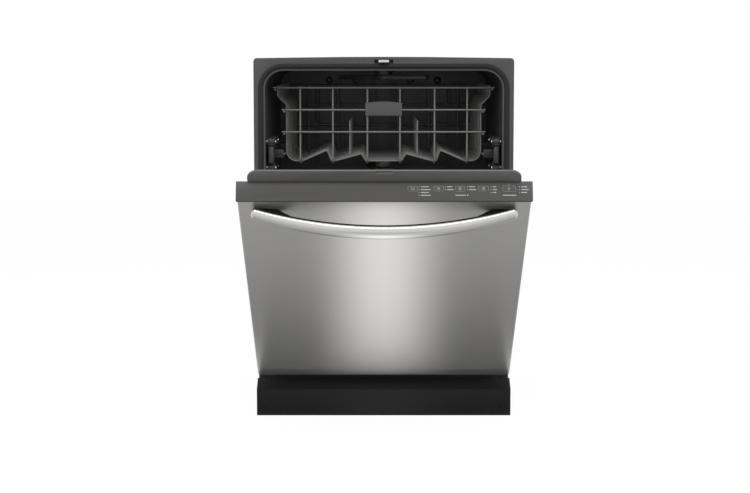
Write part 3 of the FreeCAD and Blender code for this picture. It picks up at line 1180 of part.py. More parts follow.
KEYS = [("key_cycle", "key_cycle_x", "key_width", "key_height"),
        ("key_heat", "key_heat_x", "key_width", "key_height"),
        ("key_dry", "key_dry_x", "key_width", "key_height"),
        ("key_delay", "key_delay_x", "key_width", "key_height"),
        ("key_start", "key_start_x", "start_width", "start_height")]
windows = []
for key in KEYS:
    windows.append(key_block("window", key, "key_play", ("-2", "console_wall + 1")))
    button = key_block("button", key, "0", ("-key_proud", "key_deep"))
    stop = key_block("stop", key, "key_stop", ("console_wall + 0.05", "key_deep"))
    door_node(key[0], fuse(f"{key[0]}_moulded", button, stop))
corner_cuts = []
for side, sign in (("right", 1), ("left", -1)):
    square = across("console_corner*sqrt(0.5)")
    cutter = box(f"console_corner_{side}", square, (f"{LIP} - 1", f"{LINER_FRONT} + 1"), square)
    cutter.Placement = Placement(Vector(), Rotation(Vector(0, 1, 0), 45))
    corner = {"x": f"{sign}*{CONSOLE_HALF} - console_corner", "y": f"{LIP} - 1", "z": PANEL_TOP}
    for axis, place in corner.items():
        bind(cutter, f"Placement.Base.{axis}", place)
    corner_cuts.append(cutter)
console = cut("console_shell", prism("console_block", outer, f"2*{CONSOLE_HALF}"),
              prism("console_room", inner, f"2*({CONSOLE_HALF} - console_wall)"), *windows, *corner_cuts)
door_node("console", console)
door_node("control_board",
          box("board", ("key_cycle_x - 30", "key_start_x + 30"), (f"{WALL_IN} - 1.6", WALL_IN),
              (f"{PANEL_TOP} + console_wall + 3", f"{CONSOLE_TOP} - console_wall - 3")))


# Door: handle, hinge arms, dispenser and screws

bow_radius = f"(({HANDLE_HALF}^2 + handle_bow^2)/(2*handle_bow))"
bow_half = f"asin({HANDLE_HALF}/{bow_radius})"
spine = doc.addObject("Part::Circle", "handle_spine")
bind(spine, "Radius", bow_radius)
bind(spine, "Angle1", f"270 deg - {bow_half}")
bind(spine, "Angle2", f"270 deg + {bow_half}")
section = doc.addObject("Part::Ellipse", "handle_section")
bind(section, "MajorRadius", "handle_tall")
bind(section, "MinorRadius", "handle_thick")
start_angle = math.radians(270 - val(f"{bow_half}/1 deg"))
away = Vector(math.cos(start_angle), math.sin(start_angle), 0)
section.Placement = Placement(away * val(bow_radius),
                              Rotation(Vector(0, 0, 1), Vector(), Vector(-away.y, away.x, 0), "ZXY"))
bind(section, "Placement.Base.x", f"-{HANDLE_HALF}")
bind(section, "Placement.Base.y", f"handle_bow - {bow_radius}")
sweep = doc.addObject("Part::Sweep", "handle_bar")
sweep.Sections = [section]
sweep.Spine = (spine, ["Edge1"])
sweep.Solid = True
sweep.Frenet = False
bind(sweep, "Placement.Base.y", f"{HANDLE_Y} + {bow_radius} - handle_bow")
bind(sweep, "Placement.Base.z", HANDLE_Z)
doc.recompute()
rounded = doc.addObject("Part::Fillet", "handle_rounded")
rounded.Base = sweep
tip = val("handle_tip")
rounded.Edges = [(number, tip, tip) for number, edge in enumerate(sweep.Shape.Edges, 1) if edge.isClosed()]
foot = fuse("handle_foot",
            rod("foot_boss", "y", "handle_foot_radius", (HANDLE_Y, STEEL), **AT_FOOT),
            rod("foot_stud", "y", STUD, (STEEL, f"{STEEL_BACK} + handle_nut_height + 2"), **AT_FOOT))
behind = box("behind_steel", across(PANEL_HALF), (STEEL, f"{STEEL} + 60"),
             (f"{HANDLE_Z} - 40", f"{HANDLE_Z} + 40"))
door_node("handle", fuse("handle_solid", cut("handle_flush", rounded, behind), foot,
                         mirror("handle_foot_twin", foot)))
arm = cut(
    "hinge_arm",
    fuse("arm_plate",
         box("arm_strip", ARM_X, (STEEL_BACK, f"{SKIRT} - 3"), ("-85", "120")),
         box("arm_web", ARM_X, (f"{SKIRT} - 6", "0"), across("bracket_radius + 10")),
         rod("arm_disc", "x", "bracket_radius + 1", ARM_X, y="0", z="0"),
         box("arm_tail", ARM_X, ("0", "tail_length"), across("8")),
         rod("arm_end", "x", "8", ARM_X, y="tail_length", z="0"),
         rod("arm_stud", "x", "3", (ARM_X[0], f"{SPRING_X} + 3"), y="tail_length", z="0")),
    rod("arm_bore", "x", "pin_radius + axle_play", (f"{ARM_X[0]} - 1", f"{ARM_X[1]} + 1"), y="0", z="0"))
door_node("hinge_arms", pair("arms", arm))
FACE_Y = (PLUG, f"{PLUG} + dispenser_face")
CUP_X = "(dispenser_x - dispenser_width/2 + 17 + cup_width/2)"
CUP = ((f"{CUP_X} - cup_width/2", f"{CUP_X} + cup_width/2"),
       ("dispenser_up - cup_height/2", "dispenser_up + cup_height/2"))
CAP_X = "(dispenser_x + dispenser_width/2 - 19 - cap_radius)"
AT_CAP = {"x": CAP_X, "z": "dispenser_up"}
LID_TOP = f"({CUP[1][1]} + lid_lap)"
LID_Y = (f"{FACE_Y[1]} + 0.3", f"{FACE_Y[1]} + 0.3 + lid_gauge")
PIVOT = {"y": f"{FACE_Y[1]} + 2.9", "z": f"{LID_TOP} + 2.5"}
BARREL = shrunk(CUP[0], "4")
dispenser_solid = fuse(
    "dispenser_solid",
    box("dispenser_body", DISPENSER_X, (f"{PLUG} - dispenser_deep", FACE_Y[1]), DISPENSER_Z),
    box("dispenser_rim", ("dispenser_x - dispenser_width/2", "dispenser_x + dispenser_width/2"), FACE_Y,
        ("dispenser_up - dispenser_height/2", "dispenser_up + dispenser_height/2")))
dispenser_cup = cut("dispenser_cup", dispenser_solid,
                    box("cup_room", CUP[0], (f"{PLUG} - dispenser_deep + 8", f"{FACE_Y[1]} + 1"), CUP[1]),
                    rod("cap_hole", "y", "8.08", (f"{PLUG} - 14", f"{FACE_Y[1]} + 1"), **AT_CAP))
ears = [box(f"lid_ear_{side}", span, (FACE_Y[1], f"{FACE_Y[1]} + 4.5"),
            (f"{LID_TOP} + 0.8", f"{LID_TOP} + 4.5"))
        for side, span in (("left", (f"{BARREL[0]} - 5.3", f"{BARREL[0]} - 0.3")),
                           ("right", (f"{BARREL[1]} + 0.3", f"{BARREL[1]} + 5.3")))]
lid_pin = rod("lid_pin", "x", "1.5", (f"{BARREL[0]} - 2", f"{BARREL[1]} + 2"), **PIVOT)
door_node("dispenser", fuse("dispenser_all", dispenser_cup, lid_pin, *ears))
lid = cut("lid",
          fuse("lid_solid",
               box("lid_plate", (f"{CUP[0][0]} - lid_lap", f"{CUP[0][1]} + lid_lap"), LID_Y,
                   (f"{CUP[1][0]} - lid_lap", LID_TOP)),
               box("lid_root", BARREL, (f"{FACE_Y[1]} + 1.6", f"{FACE_Y[1]} + 3.8"),
                   (f"{LID_TOP} - 2", f"{LID_TOP} + 1")),
               rod("lid_barrel", "x", "2.5", BARREL, **PIVOT)),
          rod("lid_bore", "x", "1.58", (f"{BARREL[0]} - 1", f"{BARREL[1]} + 1"), **PIVOT))
door_node("dispenser_lid", lid)
CAP_FOOT = f"({FACE_Y[1]} + 0.3)"
door_node("rinse_cap",
          fuse("cap",
               rod("cap_disc", "y", "cap_radius", (CAP_FOOT, f"{CAP_FOOT} + cap_height - 3"), **AT_CAP),
               box("cap_grip", (f"{CAP_X} - cap_radius + 4", f"{CAP_X} + cap_radius - 4"),
                   (CAP_FOOT, f"{CAP_FOOT} + cap_height"), ("dispenser_up - 3", "dispenser_up + 3")),
               rod("cap_stem", "y", "8", (f"{PLUG} - 12", f"{CAP_FOOT} + 1"), **AT_CAP)))
nut = cut("stud_nut",
          rod("nut_disc", "y", "handle_nut", (STEEL_BACK, f"{STEEL_BACK} + handle_nut_height"), **AT_FOOT),
          rod("nut_hole", "y", STUD, (f"{STEEL_BACK} - 1", f"{STEEL_BACK} + handle_nut_height + 1"), **AT_FOOT))
heads = [rod(f"liner_screw_{row}", "y", "4", (LINER_FRONT, f"{LINER_FRONT} + 1.6"),
             x=f"({PANEL_HALF} + {LINER_HALF})/2", z=f"{share}*{PANEL_TOP}")
         for row, share in (("low", 0.3), ("middle", 0.6), ("high", 0.9))]
right_screws = group("right_screws", nut, *heads)
door_node("door_screws", pair("all_door_screws", right_screws))


# Check and export

doc.recompute()
for piece in doc.Objects:
    bad = [word for word in piece.State if word in ("Invalid", "Error")]
    if bad:
        print("not computed:", piece.Name, piece.State)
os.makedirs("parts", exist_ok=True)
for piece in nodes:
    shape = piece.Shape
    if shape.isNull() or not shape.isValid() or not shape.Solids:
        print("bad shape:", piece.Label)
    shape.exportStep(f"parts/{piece.Label}.step")
print(f"{len(nodes)} pieces exported")
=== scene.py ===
# %% [markdown]
# # Dressing a built-in dishwasher over its CAD frame
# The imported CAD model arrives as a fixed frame: every node is a mesh in metres, already in its place and
# parented to the body that it moves with. This lesson gives each node a finish, and replaces the nodes
# whose edges or patterns matter to the eye with finer meshes. Nothing is fitted by hand: a new piece takes
# its place from the node that it stands for.

# %% Load the frame
import json
import math

import bmesh
import bpy
from mathutils import Matrix, Vector

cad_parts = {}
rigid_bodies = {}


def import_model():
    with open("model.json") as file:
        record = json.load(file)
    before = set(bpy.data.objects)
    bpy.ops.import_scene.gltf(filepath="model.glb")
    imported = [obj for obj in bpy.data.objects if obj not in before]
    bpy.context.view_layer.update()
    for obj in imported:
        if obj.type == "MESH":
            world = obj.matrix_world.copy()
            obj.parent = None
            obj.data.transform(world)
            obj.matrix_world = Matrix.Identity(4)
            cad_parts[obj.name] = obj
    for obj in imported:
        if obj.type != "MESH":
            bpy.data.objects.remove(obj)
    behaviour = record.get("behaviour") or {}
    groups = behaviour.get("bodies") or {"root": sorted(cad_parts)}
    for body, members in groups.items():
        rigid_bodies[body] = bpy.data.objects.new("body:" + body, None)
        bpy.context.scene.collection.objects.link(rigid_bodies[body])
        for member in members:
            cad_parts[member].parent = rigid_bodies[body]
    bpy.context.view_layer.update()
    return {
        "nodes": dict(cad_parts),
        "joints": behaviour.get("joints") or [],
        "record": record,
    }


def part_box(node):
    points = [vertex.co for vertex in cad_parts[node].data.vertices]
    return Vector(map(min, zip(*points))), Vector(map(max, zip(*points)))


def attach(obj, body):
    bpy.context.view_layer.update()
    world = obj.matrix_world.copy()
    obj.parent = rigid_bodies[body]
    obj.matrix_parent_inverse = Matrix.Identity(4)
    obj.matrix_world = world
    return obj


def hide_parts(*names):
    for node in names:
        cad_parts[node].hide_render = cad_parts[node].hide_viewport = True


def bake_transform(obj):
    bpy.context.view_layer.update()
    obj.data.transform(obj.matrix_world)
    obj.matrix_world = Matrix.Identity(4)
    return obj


MM = 0.001
scene = bpy.context.scene
for leftover in list(bpy.data.objects):
    bpy.data.objects.remove(leftover)
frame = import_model()
nodes = frame["nodes"]

# %% [markdown]
# The door's pieces are easiest to think of with the door shut, when the steel is upright. The hinge's
# record says how far the door can still close, and that angle is how far open it stands. One matrix then
# carries a mesh from the shut door to the place where the door hangs.

# %% The shut door's frame
hinge = next(joint for joint in frame["joints"] if joint["name"] == "door_hinge")
ajar = math.radians(-hinge["range_deg"][0])
HUNG = Matrix.Translation(Vector(hinge["pos_m"])) @ Matrix.Rotation(ajar, 4, "X")


def shut_box(node):
    """The lowest and highest corner of a door node, measured with the door shut."""
    spots = [HUNG.inverted() @ spot.co for spot in nodes[node].data.vertices]
    return tuple(Vector([pick(spot[axis] for spot in spots) for axis in range(3)]) for pick in (min, max))


print("door stands open by", round(math.degrees(ajar)), "degrees")

# %% [markdown]
# ## Finishes
# Colours are written as sRGB hex values, as a paint card gives them, and one function turns them linear.
# A second small function adds any node with its settings, constants and links. All patterns read Object
# coordinates, which are metres here, so a pattern's scale is one over a real size. No made surface is quite
# even, so one more function lets a pattern vary a shader's colour, gloss and height.

# %% Colour and node helpers


def linear(code):
    """An sRGB hex value as a linear colour."""
    parts = [int(code[place:place + 2], 16) / 255 for place in (0, 2, 4)]
    return (*[part / 12.92 if part <= 0.04045 else ((part + 0.055) / 1.055) ** 2.4 for part in parts], 1.0)


def add(tree, kind, constants=None, wires=None, **settings):
    """A node of some kind, with its settings, its constant sockets and its links."""
    made = tree.nodes.new(kind)
    for name, value in settings.items():
        setattr(made, name, value)
    for socket, value in (constants or {}).items():
        made.inputs[socket].default_value = value
    for socket, source in (wires or {}).items():
        tree.links.new(source, made.inputs[socket])
    return made


def bare(name):
    """A named material without any nodes, and its empty tree."""
    made = bpy.data.materials.new(name)
    made.use_nodes = True
    made.node_tree.nodes.clear()
    return made, made.node_tree


def surface(name, **constants):
    """A named material with one Principled shader, and the coordinates that its patterns read."""
    made, tree = bare(name)
    spaced = {key.replace("_", " ").title().replace("Ior", "IOR"): value
              for key, value in constants.items()}
    shader = add(tree, "ShaderNodeBsdfPrincipled", spaced)
    add(tree, "ShaderNodeOutputMaterial", wires={"Surface": shader.outputs["BSDF"]})
    place = add(tree, "ShaderNodeTexCoord").outputs["Object"]
    return made, tree, shader, place


def uneven(tree, shader, tone, grain, code, rough, drift, wander, strength, relief):
    """Lets a tone vary a shader's colour and gloss, and a grain its height."""
    base = linear(code)
    dark, light = [tuple(part * (1 + side * drift) for part in base[:3]) + (1.0,) for side in (-1, 1)]
    tint = add(tree, "ShaderNodeMix", {6: dark, 7: light}, {0: tone}, data_type="RGBA")
    gloss = add(tree, "ShaderNodeMapRange", {"To Min": rough - wander, "To Max": rough + wander},
                {"Value": tone})
    bump = add(tree, "ShaderNodeBump", {"Strength": strength, "Distance": relief}, {"Height": grain})
    for socket, source in (("Base Color", tint.outputs[2]), ("Roughness", gloss.outputs[0]),
                           ("Normal", bump.outputs[0])):
        tree.links.new(source, shader.inputs[socket])


print("helpers ready")

# %% [markdown]
# Most of the machine is moulded plastic, and a mould leaves three things to see: a faint unevenness of
# colour where the melt flowed, a gloss that wanders a little, and a fine spark-eroded grain. One noise of
# about 30 mm gives the first two, and one of about a millimetre gives the grain. The real grain is finer
# than a pixel of the photograph, so it is drawn coarser here, or it would not show at all.

# %% Moulded plastics
FLOW = 30 * MM


def moulded(name, code, rough, grain=1.1 * MM, relief=0.05 * MM, drift=0.10, **constants):
    """A moulded or coated finish: a slow drift of colour and gloss, and a fine grain."""
    made, tree, shader, place = surface(name, roughness=rough, **constants)
    flow = add(tree, "ShaderNodeTexNoise", {"Scale": 1 / FLOW, "Detail": 2.0}, {"Vector": place})
    skin = add(tree, "ShaderNodeTexNoise", {"Scale": 1 / grain, "Detail": 1.0}, {"Vector": place})
    uneven(tree, shader, flow.outputs["Fac"], skin.outputs["Fac"], code, rough, drift, 0.05, 0.35, relief)
    return made


FINISHES = {
    "tub_plastic": moulded("grey_polypropylene", "3d3c3b", 0.4, ior=1.49),
    "console_plastic": moulded("charcoal_abs", "393837", 0.45, ior=1.54),
    "key_plastic": moulded("charcoal_abs_key", "3b3a39", 0.42, ior=1.54),
    "black_plastic": moulded("black_polypropylene", "1d1d1c", 0.5, ior=1.49),
    "roller_plastic": moulded("grey_acetal", "333332", 0.34, ior=1.48),
    "arm_plastic": moulded("dark_grey_polypropylene", "4a4a49", 0.4, ior=1.49),
    "badge_plastic": moulded("slate_abs", "4b4b4c", 0.42, ior=1.54),
    "white_plastic": moulded("natural_nylon", "c9c7c0", 0.4, ior=1.53, drift=0.05),
    "rack_coating": moulded("nylon_dipped_wire", "71706e", 0.38, 3.0 * MM, 0.1 * MM, ior=1.53),
    "seal_rubber": moulded("epdm_rubber", "161616", 0.66, 2.0 * MM, 0.05 * MM, ior=1.45),
    "toe_paint": moulded("black_powder_coat", "191818", 0.55, 1.6 * MM, 0.08 * MM, specular_ior_level=0.2),
}
print(len(FINISHES), "moulded and coated finishes")

# %% [markdown]
# The door's skin is stainless sheet brushed from side to side. Brushing leaves long scratches along X, so
# the sheet mirrors sharply along the scratches and smears the picture across them, which draws every
# reflection out into an upright band. The shader's anisotropy does that smear once a UV map tells it which
# way is up the sheet. The scratches themselves are noise, stretched a hundredfold along X. Real ones are
# about 0.1 mm apart, and these are 0.6 mm, so that they show.

# %% Metals


def metal(name, code, rough, grain, stretch, relief, drift=0.08, **constants):
    """A metal whose colour, gloss and height follow one stretched noise."""
    made, tree, shader, place = surface(name, metallic=1.0, roughness=rough, **constants)
    drawn = add(tree, "ShaderNodeMapping", {"Scale": stretch}, {"Vector": place}).outputs[0]
    noise = add(tree, "ShaderNodeTexNoise", {"Scale": 1 / grain, "Detail": 3.0}, {"Vector": drawn})
    lie = noise.outputs["Fac"]
    uneven(tree, shader, lie, lie, code, rough, drift, 0.06, 0.3, relief)
    return made, tree, shader


EVEN = (1, 1, 1)
FINE = 0.004 * MM
steel, steel_tree, steel_shader = metal("brushed_stainless", "c9c8c6", 0.4, 0.6 * MM, (0.01, 1, 1), FINE,
                                        anisotropic=0.8)
up_the_sheet = add(steel_tree, "ShaderNodeTangent", direction_type="UV_MAP", uv_map="Brushed")
steel_tree.links.new(up_the_sheet.outputs[0], steel_shader.inputs["Tangent"])
# Blackened steel is the toe kick screws' own finish; on the handle's back and on its feet it is painted
# shade.
dark_steel_and_painted_shade = metal("blackened_steel", "2c2c2b", 0.4, 2 * MM, EVEN, FINE)[0]
FINISHES |= {
    "door_steel": steel,
    "handle_steel": metal("satin_stainless", "cfcecb", 0.32, 0.5 * MM, (0.02, 1, 1), 0.001 * MM,
                          drift=0.04)[0],
    "bright_steel": metal("plated_steel", "d0cfcc", 0.2, 2 * MM, EVEN, FINE)[0],
    "screw_steel": metal("zinc_screw", "b9b8b4", 0.3, 2 * MM, EVEN, FINE)[0],
    "spring_steel": metal("oiled_spring_wire", "8f8e8b", 0.3, 3 * MM, EVEN, FINE)[0],
    "heater_sheath": metal("oxidised_nickel_alloy", "5a5550", 0.5, 6 * MM, EVEN, 0.02 * MM, drift=0.25)[0],
}
print(len(FINISHES), "finishes with the metals")

# %% [markdown]
# Hot-dipped sheet shows spangle: flat zinc crystals about a centimetre across, each with its own shade and
# gloss. Voronoi cells are just that, a plane cut into patches round random seeds, so their cell colour
# drives both shade and roughness. Without their randomness the same cells stand in a square grid, and the
# distance from each seed then draws the holes etched in the filter's sheet. The control board is solder
# mask over glass cloth, plain green with a fine square weave.

# %% Zinc, etched sheet and board
SPANGLE, HOLE_STEP, WEAVE = 9 * MM, 3.2 * MM, 1.5 * MM
HOLE_SHARE = 0.3


def galvanised():
    made, tree, shader, place = surface("spangled_zinc_sheet", metallic=1.0, roughness=0.45)
    cells = add(tree, "ShaderNodeTexVoronoi", {"Scale": 1 / SPANGLE}, {"Vector": place})
    shade = add(tree, "ShaderNodeSeparateColor", wires={"Color": cells.outputs["Color"]}).outputs[0]
    tint = add(tree, "ShaderNodeMix", {6: linear("a2a4a6"), 7: linear("c2c4c5")}, {0: shade},
               data_type="RGBA")
    gloss = add(tree, "ShaderNodeMapRange", {"To Min": 0.36, "To Max": 0.52}, {"Value": shade})
    tree.links.new(tint.outputs[2], shader.inputs["Base Color"])
    tree.links.new(gloss.outputs[0], shader.inputs["Roughness"])
    return made


def etched_sheet():
    made, tree, shader, place = surface("etched_stainless", metallic=1.0, roughness=0.36)
    flat = add(tree, "ShaderNodeMapping", {"Scale": (1, 1, 0)}, {"Vector": place})
    cells = add(tree, "ShaderNodeTexVoronoi", {"Scale": 1 / HOLE_STEP, "Randomness": 0.0},
                {"Vector": flat.outputs[0]})
    hole = add(tree, "ShaderNodeMath", {1: HOLE_SHARE}, {0: cells.outputs["Distance"]},
               operation="LESS_THAN")
    tint = add(tree, "ShaderNodeMix", {6: linear("b4b3b0"), 7: linear("191918")}, {0: hole.outputs[0]},
               data_type="RGBA")
    tree.links.new(tint.outputs[2], shader.inputs["Base Color"])
    return made


def solder_mask():
    made, tree, shader, place = surface("solder_mask_on_glass_cloth", roughness=0.35, ior=1.5)
    weave = add(tree, "ShaderNodeTexChecker", {"Scale": 1 / WEAVE, "Color1": linear("1d5a35"),
                                               "Color2": linear("19522f")}, {"Vector": place})
    tree.links.new(weave.outputs[0], shader.inputs["Base Color"])
    return made


FINISHES |= {"galvanised": galvanised(), "filter_steel": etched_sheet(), "board_green": solder_mask()}
slots = [row["slot"] for row in frame["record"]["materials"]]
print("slots without a finish:", sorted(set(slots) - set(FINISHES)))

# %% [markdown]
# Each CAD node comes with a plain material that is named for its slot in the record. Swapping that for the
# finish of the same name dresses the whole machine at once, and the pieces that follow then refine what
# shows most.

# %% Dress every node
slot_of = {}
for name, node in nodes.items():
    slot_of[name] = node.material_slots[0].material.name.split(".")[0]
    for holder in node.material_slots:
        holder.material = FINISHES[slot_of[name]]
print(len(nodes), "nodes dressed")

# %% [markdown]
# ## Camera and studio
# The photograph was taken from straight ahead, a little above the middle of the machine and from far off.
# The lens follows from the field of view, and a small shift moves the picture in its frame. It was worked
# out from the corners of the flange, the console and the steel.

# %% Camera
SENSOR, LENS = 36.0, 75.86
SHIFT = (-0.0065, -0.021)
STANDPOINT = (-0.00899, -3.67764, 0.82605)
LOOK_DOWN = 6.0
eye = bpy.data.cameras.new("front_camera")
eye.sensor_width = SENSOR
eye.lens = LENS
eye.shift_x, eye.shift_y = SHIFT
camera = bpy.data.objects.new("front_camera", eye)
scene.collection.objects.link(camera)
camera.location = STANDPOINT
camera.rotation_euler = (math.radians(90 - LOOK_DOWN), 0, 0)
scene.camera = camera
scene.view_settings.view_transform = "Standard"
print("camera at", [round(part, 2) for part in camera.location])

# %% [markdown]
# The studio is white all round. What the camera, a mirror or glass sees of the world is plain white, and
# what lights the object is weaker, so nothing clips.

# %% World
WORLD_LIGHT = 0.55


def seen(tree):
    """One where a ray comes from the camera or from a gloss, and nought where it carries light."""
    path = add(tree, "ShaderNodeLightPath").outputs
    either = add(tree, "ShaderNodeMath", wires={0: path["Is Camera Ray"], 1: path["Is Glossy Ray"]},
                 operation="MAXIMUM")
    return add(tree, "ShaderNodeMath", wires={0: either.outputs[0], 1: path["Is Transmission Ray"]},
               operation="MAXIMUM").outputs[0]


world = bpy.data.worlds.new("white_studio")
scene.world = world
world.use_nodes = True
world.node_tree.nodes.clear()
level = add(world.node_tree, "ShaderNodeMapRange", {"To Min": WORLD_LIGHT, "To Max": 1.0},
            {"Value": seen(world.node_tree)})
sky = add(world.node_tree, "ShaderNodeBackground", {"Color": linear("ffffff")},
          {"Strength": level.outputs[0]})
add(world.node_tree, "ShaderNodeOutputWorld", wires={"Surface": sky.outputs[0]})
print("world lights at", WORLD_LIGHT)

# %% [markdown]
# The floor is white in the same way, but it keeps a little of its own shading, and with it the object's
# shadow. Floor and flags are flat cards.

# %% Floor
FLOOR_SHADE, FLOOR_GLOW = 0.08, 1.03
FLOOR_HALF = 6.0
floor_paint, floor_tree = bare("white_floor")
shade = add(floor_tree, "ShaderNodeBsdfDiffuse", {"Color": linear("ebebeb")})
glow = add(floor_tree, "ShaderNodeEmission", {"Strength": FLOOR_GLOW})
share = add(floor_tree, "ShaderNodeMath", {1: 1 - FLOOR_SHADE}, {0: seen(floor_tree)}, operation="MULTIPLY")
mixed = add(floor_tree, "ShaderNodeMixShader", wires={0: share.outputs[0], 1: shade.outputs[0],
                                                      2: glow.outputs[0]})
add(floor_tree, "ShaderNodeOutputMaterial", wires={"Surface": mixed.outputs[0]})


def stage_card(name, x, y, z, paint):
    """A level card of the studio, which is no part of the object."""
    shape = bmesh.new()
    corners = [(x[0], y[0], z), (x[1], y[0], z), (x[1], y[1], z), (x[0], y[1], z)]
    shape.faces.new([shape.verts.new(corner) for corner in corners])
    mesh = bpy.data.meshes.new(name)
    shape.to_mesh(mesh)
    shape.free()
    mesh.materials.append(paint)
    card = bpy.data.objects.new(name, mesh)
    scene.collection.objects.link(card)
    return card


stage_card("floor", (-FLOOR_HALF, FLOOR_HALF), (-FLOOR_HALF, FLOOR_HALF), 0.0, floor_paint)
print("studio floor", 2 * FLOOR_HALF, "m wide")

# %% [markdown]
# A tilted mirror shows what lies below it. This door mirrors the strip of floor right under it, and a white
# floor would leave the steel white from edge to edge. Photographers lay dark flags there, so the steel
# keeps one bright band in the middle that fades to grey at both sides. The flag is a card just above the
# floor that only glossy rays see: light in the middle, dark at the sides and towards the toe kick. A plain
# grey one in front of it shades the handle's underside.

# %% The flag under the door
BAND = 0.4
FRONT_FLAG = 0.72
GRADE = {"From Min": -0.42, "From Max": -0.02}
SIDE_FRONT, SIDE_BACK = 0.55, 0.1
PEAK_FRONT, PEAK_BACK = 1.75, 1.15
FLAG_LIFT = 2 * MM
flag_paint, flag_tree = bare("graded_flag")
spot = add(flag_tree, "ShaderNodeSeparateXYZ",
           wires={"Vector": add(flag_tree, "ShaderNodeTexCoord").outputs["Object"]})
aside = add(flag_tree, "ShaderNodeMath", wires={0: spot.outputs["X"]}, operation="ABSOLUTE")
sides = add(flag_tree, "ShaderNodeMapRange", GRADE | {"To Min": SIDE_FRONT, "To Max": SIDE_BACK},
            {"Value": spot.outputs["Y"]})
peak = add(flag_tree, "ShaderNodeMapRange", GRADE | {"To Min": PEAK_FRONT, "To Max": PEAK_BACK},
           {"Value": spot.outputs["Y"]})
fade = add(flag_tree, "ShaderNodeMapRange", {"From Min": 0.0, "From Max": BAND / 2},
           {"Value": aside.outputs[0], "To Min": peak.outputs[0], "To Max": sides.outputs[0]},
           interpolation_type="SMOOTHSTEP")
flag_glow = add(flag_tree, "ShaderNodeEmission", wires={"Strength": fade.outputs[0]})
add(flag_tree, "ShaderNodeOutputMaterial", wires={"Surface": flag_glow.outputs[0]})
front_paint, front_tree = bare("grey_flag")
front_glow = add(front_tree, "ShaderNodeEmission", {"Strength": FRONT_FLAG})
add(front_tree, "ShaderNodeOutputMaterial", wires={"Surface": front_glow.outputs[0]})
flags = [stage_card("flag", (-0.8, 0.8), (-0.75, -0.01), FLAG_LIFT, flag_paint),
         stage_card("front_flag", (-1.2, 1.2), (-1.9, -0.76), FLAG_LIFT, front_paint)]
for flag in flags:
    for ray in ("visible_camera", "visible_diffuse", "visible_shadow", "visible_transmission"):
        setattr(flag, ray, False)
print("flag under the door, band", BAND, "m wide")

# %% [markdown]
# Two soft boxes light the machine from the front, one high on each side, and a third from above keeps the
# top edges apart from the background. They are large and far off, so shadows stay faint. No gloss mirrors
# them. A weak long strip, high in front, is mirrored, and draws the white line along the handle.

# %% Lamps


def soft_box(name, watts, size, place, aim, mirrored=False):
    """A rectangular lamp at a place, turned towards an aim."""
    lamp = bpy.data.lights.new(name, "AREA")
    lamp.energy = watts
    lamp.shape = "RECTANGLE"
    lamp.size, lamp.size_y = size
    box = bpy.data.objects.new(name, lamp)
    scene.collection.objects.link(box)
    box.location = place
    box.rotation_euler = (Vector(aim) - Vector(place)).to_track_quat("-Z", "Y").to_euler()
    box.visible_glossy = mirrored


MACHINE, GRIP = (0, 0, 0.45), (0, -0.48, 0.52)
for name, side in (("left_soft_box", -1), ("right_soft_box", 1)):
    soft_box(name, watts=45, size=(1.6, 2.0), place=(side * 2.2, -3.0, 2.2), aim=MACHINE)
soft_box("top_soft_box", watts=30, size=(2.0, 1.4), place=(0, -0.4, 2.8), aim=MACHINE)
soft_box("handle_strip", watts=15, size=(2.6, 0.5), place=(0, -1.8, 2.6), aim=GRIP, mirrored=True)
print("three soft boxes and a strip")

# %% [markdown]
# ## Ways to make a piece
# A few helpers are enough for all that follows. The first are a block, a bevel with the settings that the
# editor would use, and a lathe shape, which spin turns from a profile.

# %% Blocks, bevels and lathe shapes
MERGE = 2e-6
AXES = {"X": Matrix.Rotation(math.pi / 2, 4, "Y"), "Y": Matrix.Rotation(-math.pi / 2, 4, "X"),
        "Z": Matrix.Identity(4)}


def block(shape, low, high):
    """A box between two corners."""
    low, high = Vector(low), Vector(high)
    place = Matrix.Translation((low + high) / 2) @ Matrix.Diagonal((*(high - low), 1.0))
    return bmesh.ops.create_cube(shape, size=1, matrix=place)["verts"]


def soften(shape, edges, width, steps=3):
    """Rounds edges as the editor's bevel does."""
    bmesh.ops.bevel(shape, geom=list(edges), offset=width, offset_type="OFFSET", segments=steps,
                    profile=0.5, affect="EDGES", material=-1, clamp_overlap=True)


def turned(shape, profile, centre, axis="Z", steps=32):
    """A lathe shape about an axis: the profile gives radius and height, in millimetres."""
    old = set(shape.verts)
    spots = [shape.verts.new((radius * MM, 0, height * MM)) for radius, height in profile]
    rim = [shape.edges.new(ends) for ends in zip(spots, spots[1:])]
    bmesh.ops.spin(shape, geom=spots + rim, cent=(0, 0, 0), axis=(0, 0, 1), angle=2 * math.pi, steps=steps,
                   use_merge=True)
    bmesh.ops.remove_doubles(shape, verts=[v for v in shape.verts if v not in old], dist=1e-6)
    fresh = [v for v in shape.verts if v not in old]
    bmesh.ops.recalc_face_normals(shape, faces=list({face for v in fresh for face in v.link_faces}))
    bmesh.ops.transform(shape, matrix=Matrix.Translation(Vector(centre)) @ AXES[axis], verts=fresh)
    return fresh


print("block, soften and turned ready")

# %% [markdown]
# Many nodes are right as they are and only lack the radii of their edges. A CAD mesh is loose triangles,
# so a copy is merged and freed of them first. Its sharp edges can then be picked by where they lie, and a
# node of several solids can be taken apart to see where each one stands.

# %% Copies of CAD nodes


def merged(node):
    """A CAD node's mesh with its triangles joined at their corners."""
    shape = bmesh.new()
    shape.from_mesh(nodes[node].data)
    bmesh.ops.remove_doubles(shape, verts=shape.verts, dist=MERGE)
    return shape


def copied(node):
    """A CAD node's mesh, merged, with its flat triangles joined to whole faces."""
    shape = merged(node)
    bmesh.ops.dissolve_limit(shape, angle_limit=math.radians(0.4), verts=shape.verts, edges=shape.edges)
    return shape


def anywhere(middle, along):
    return True


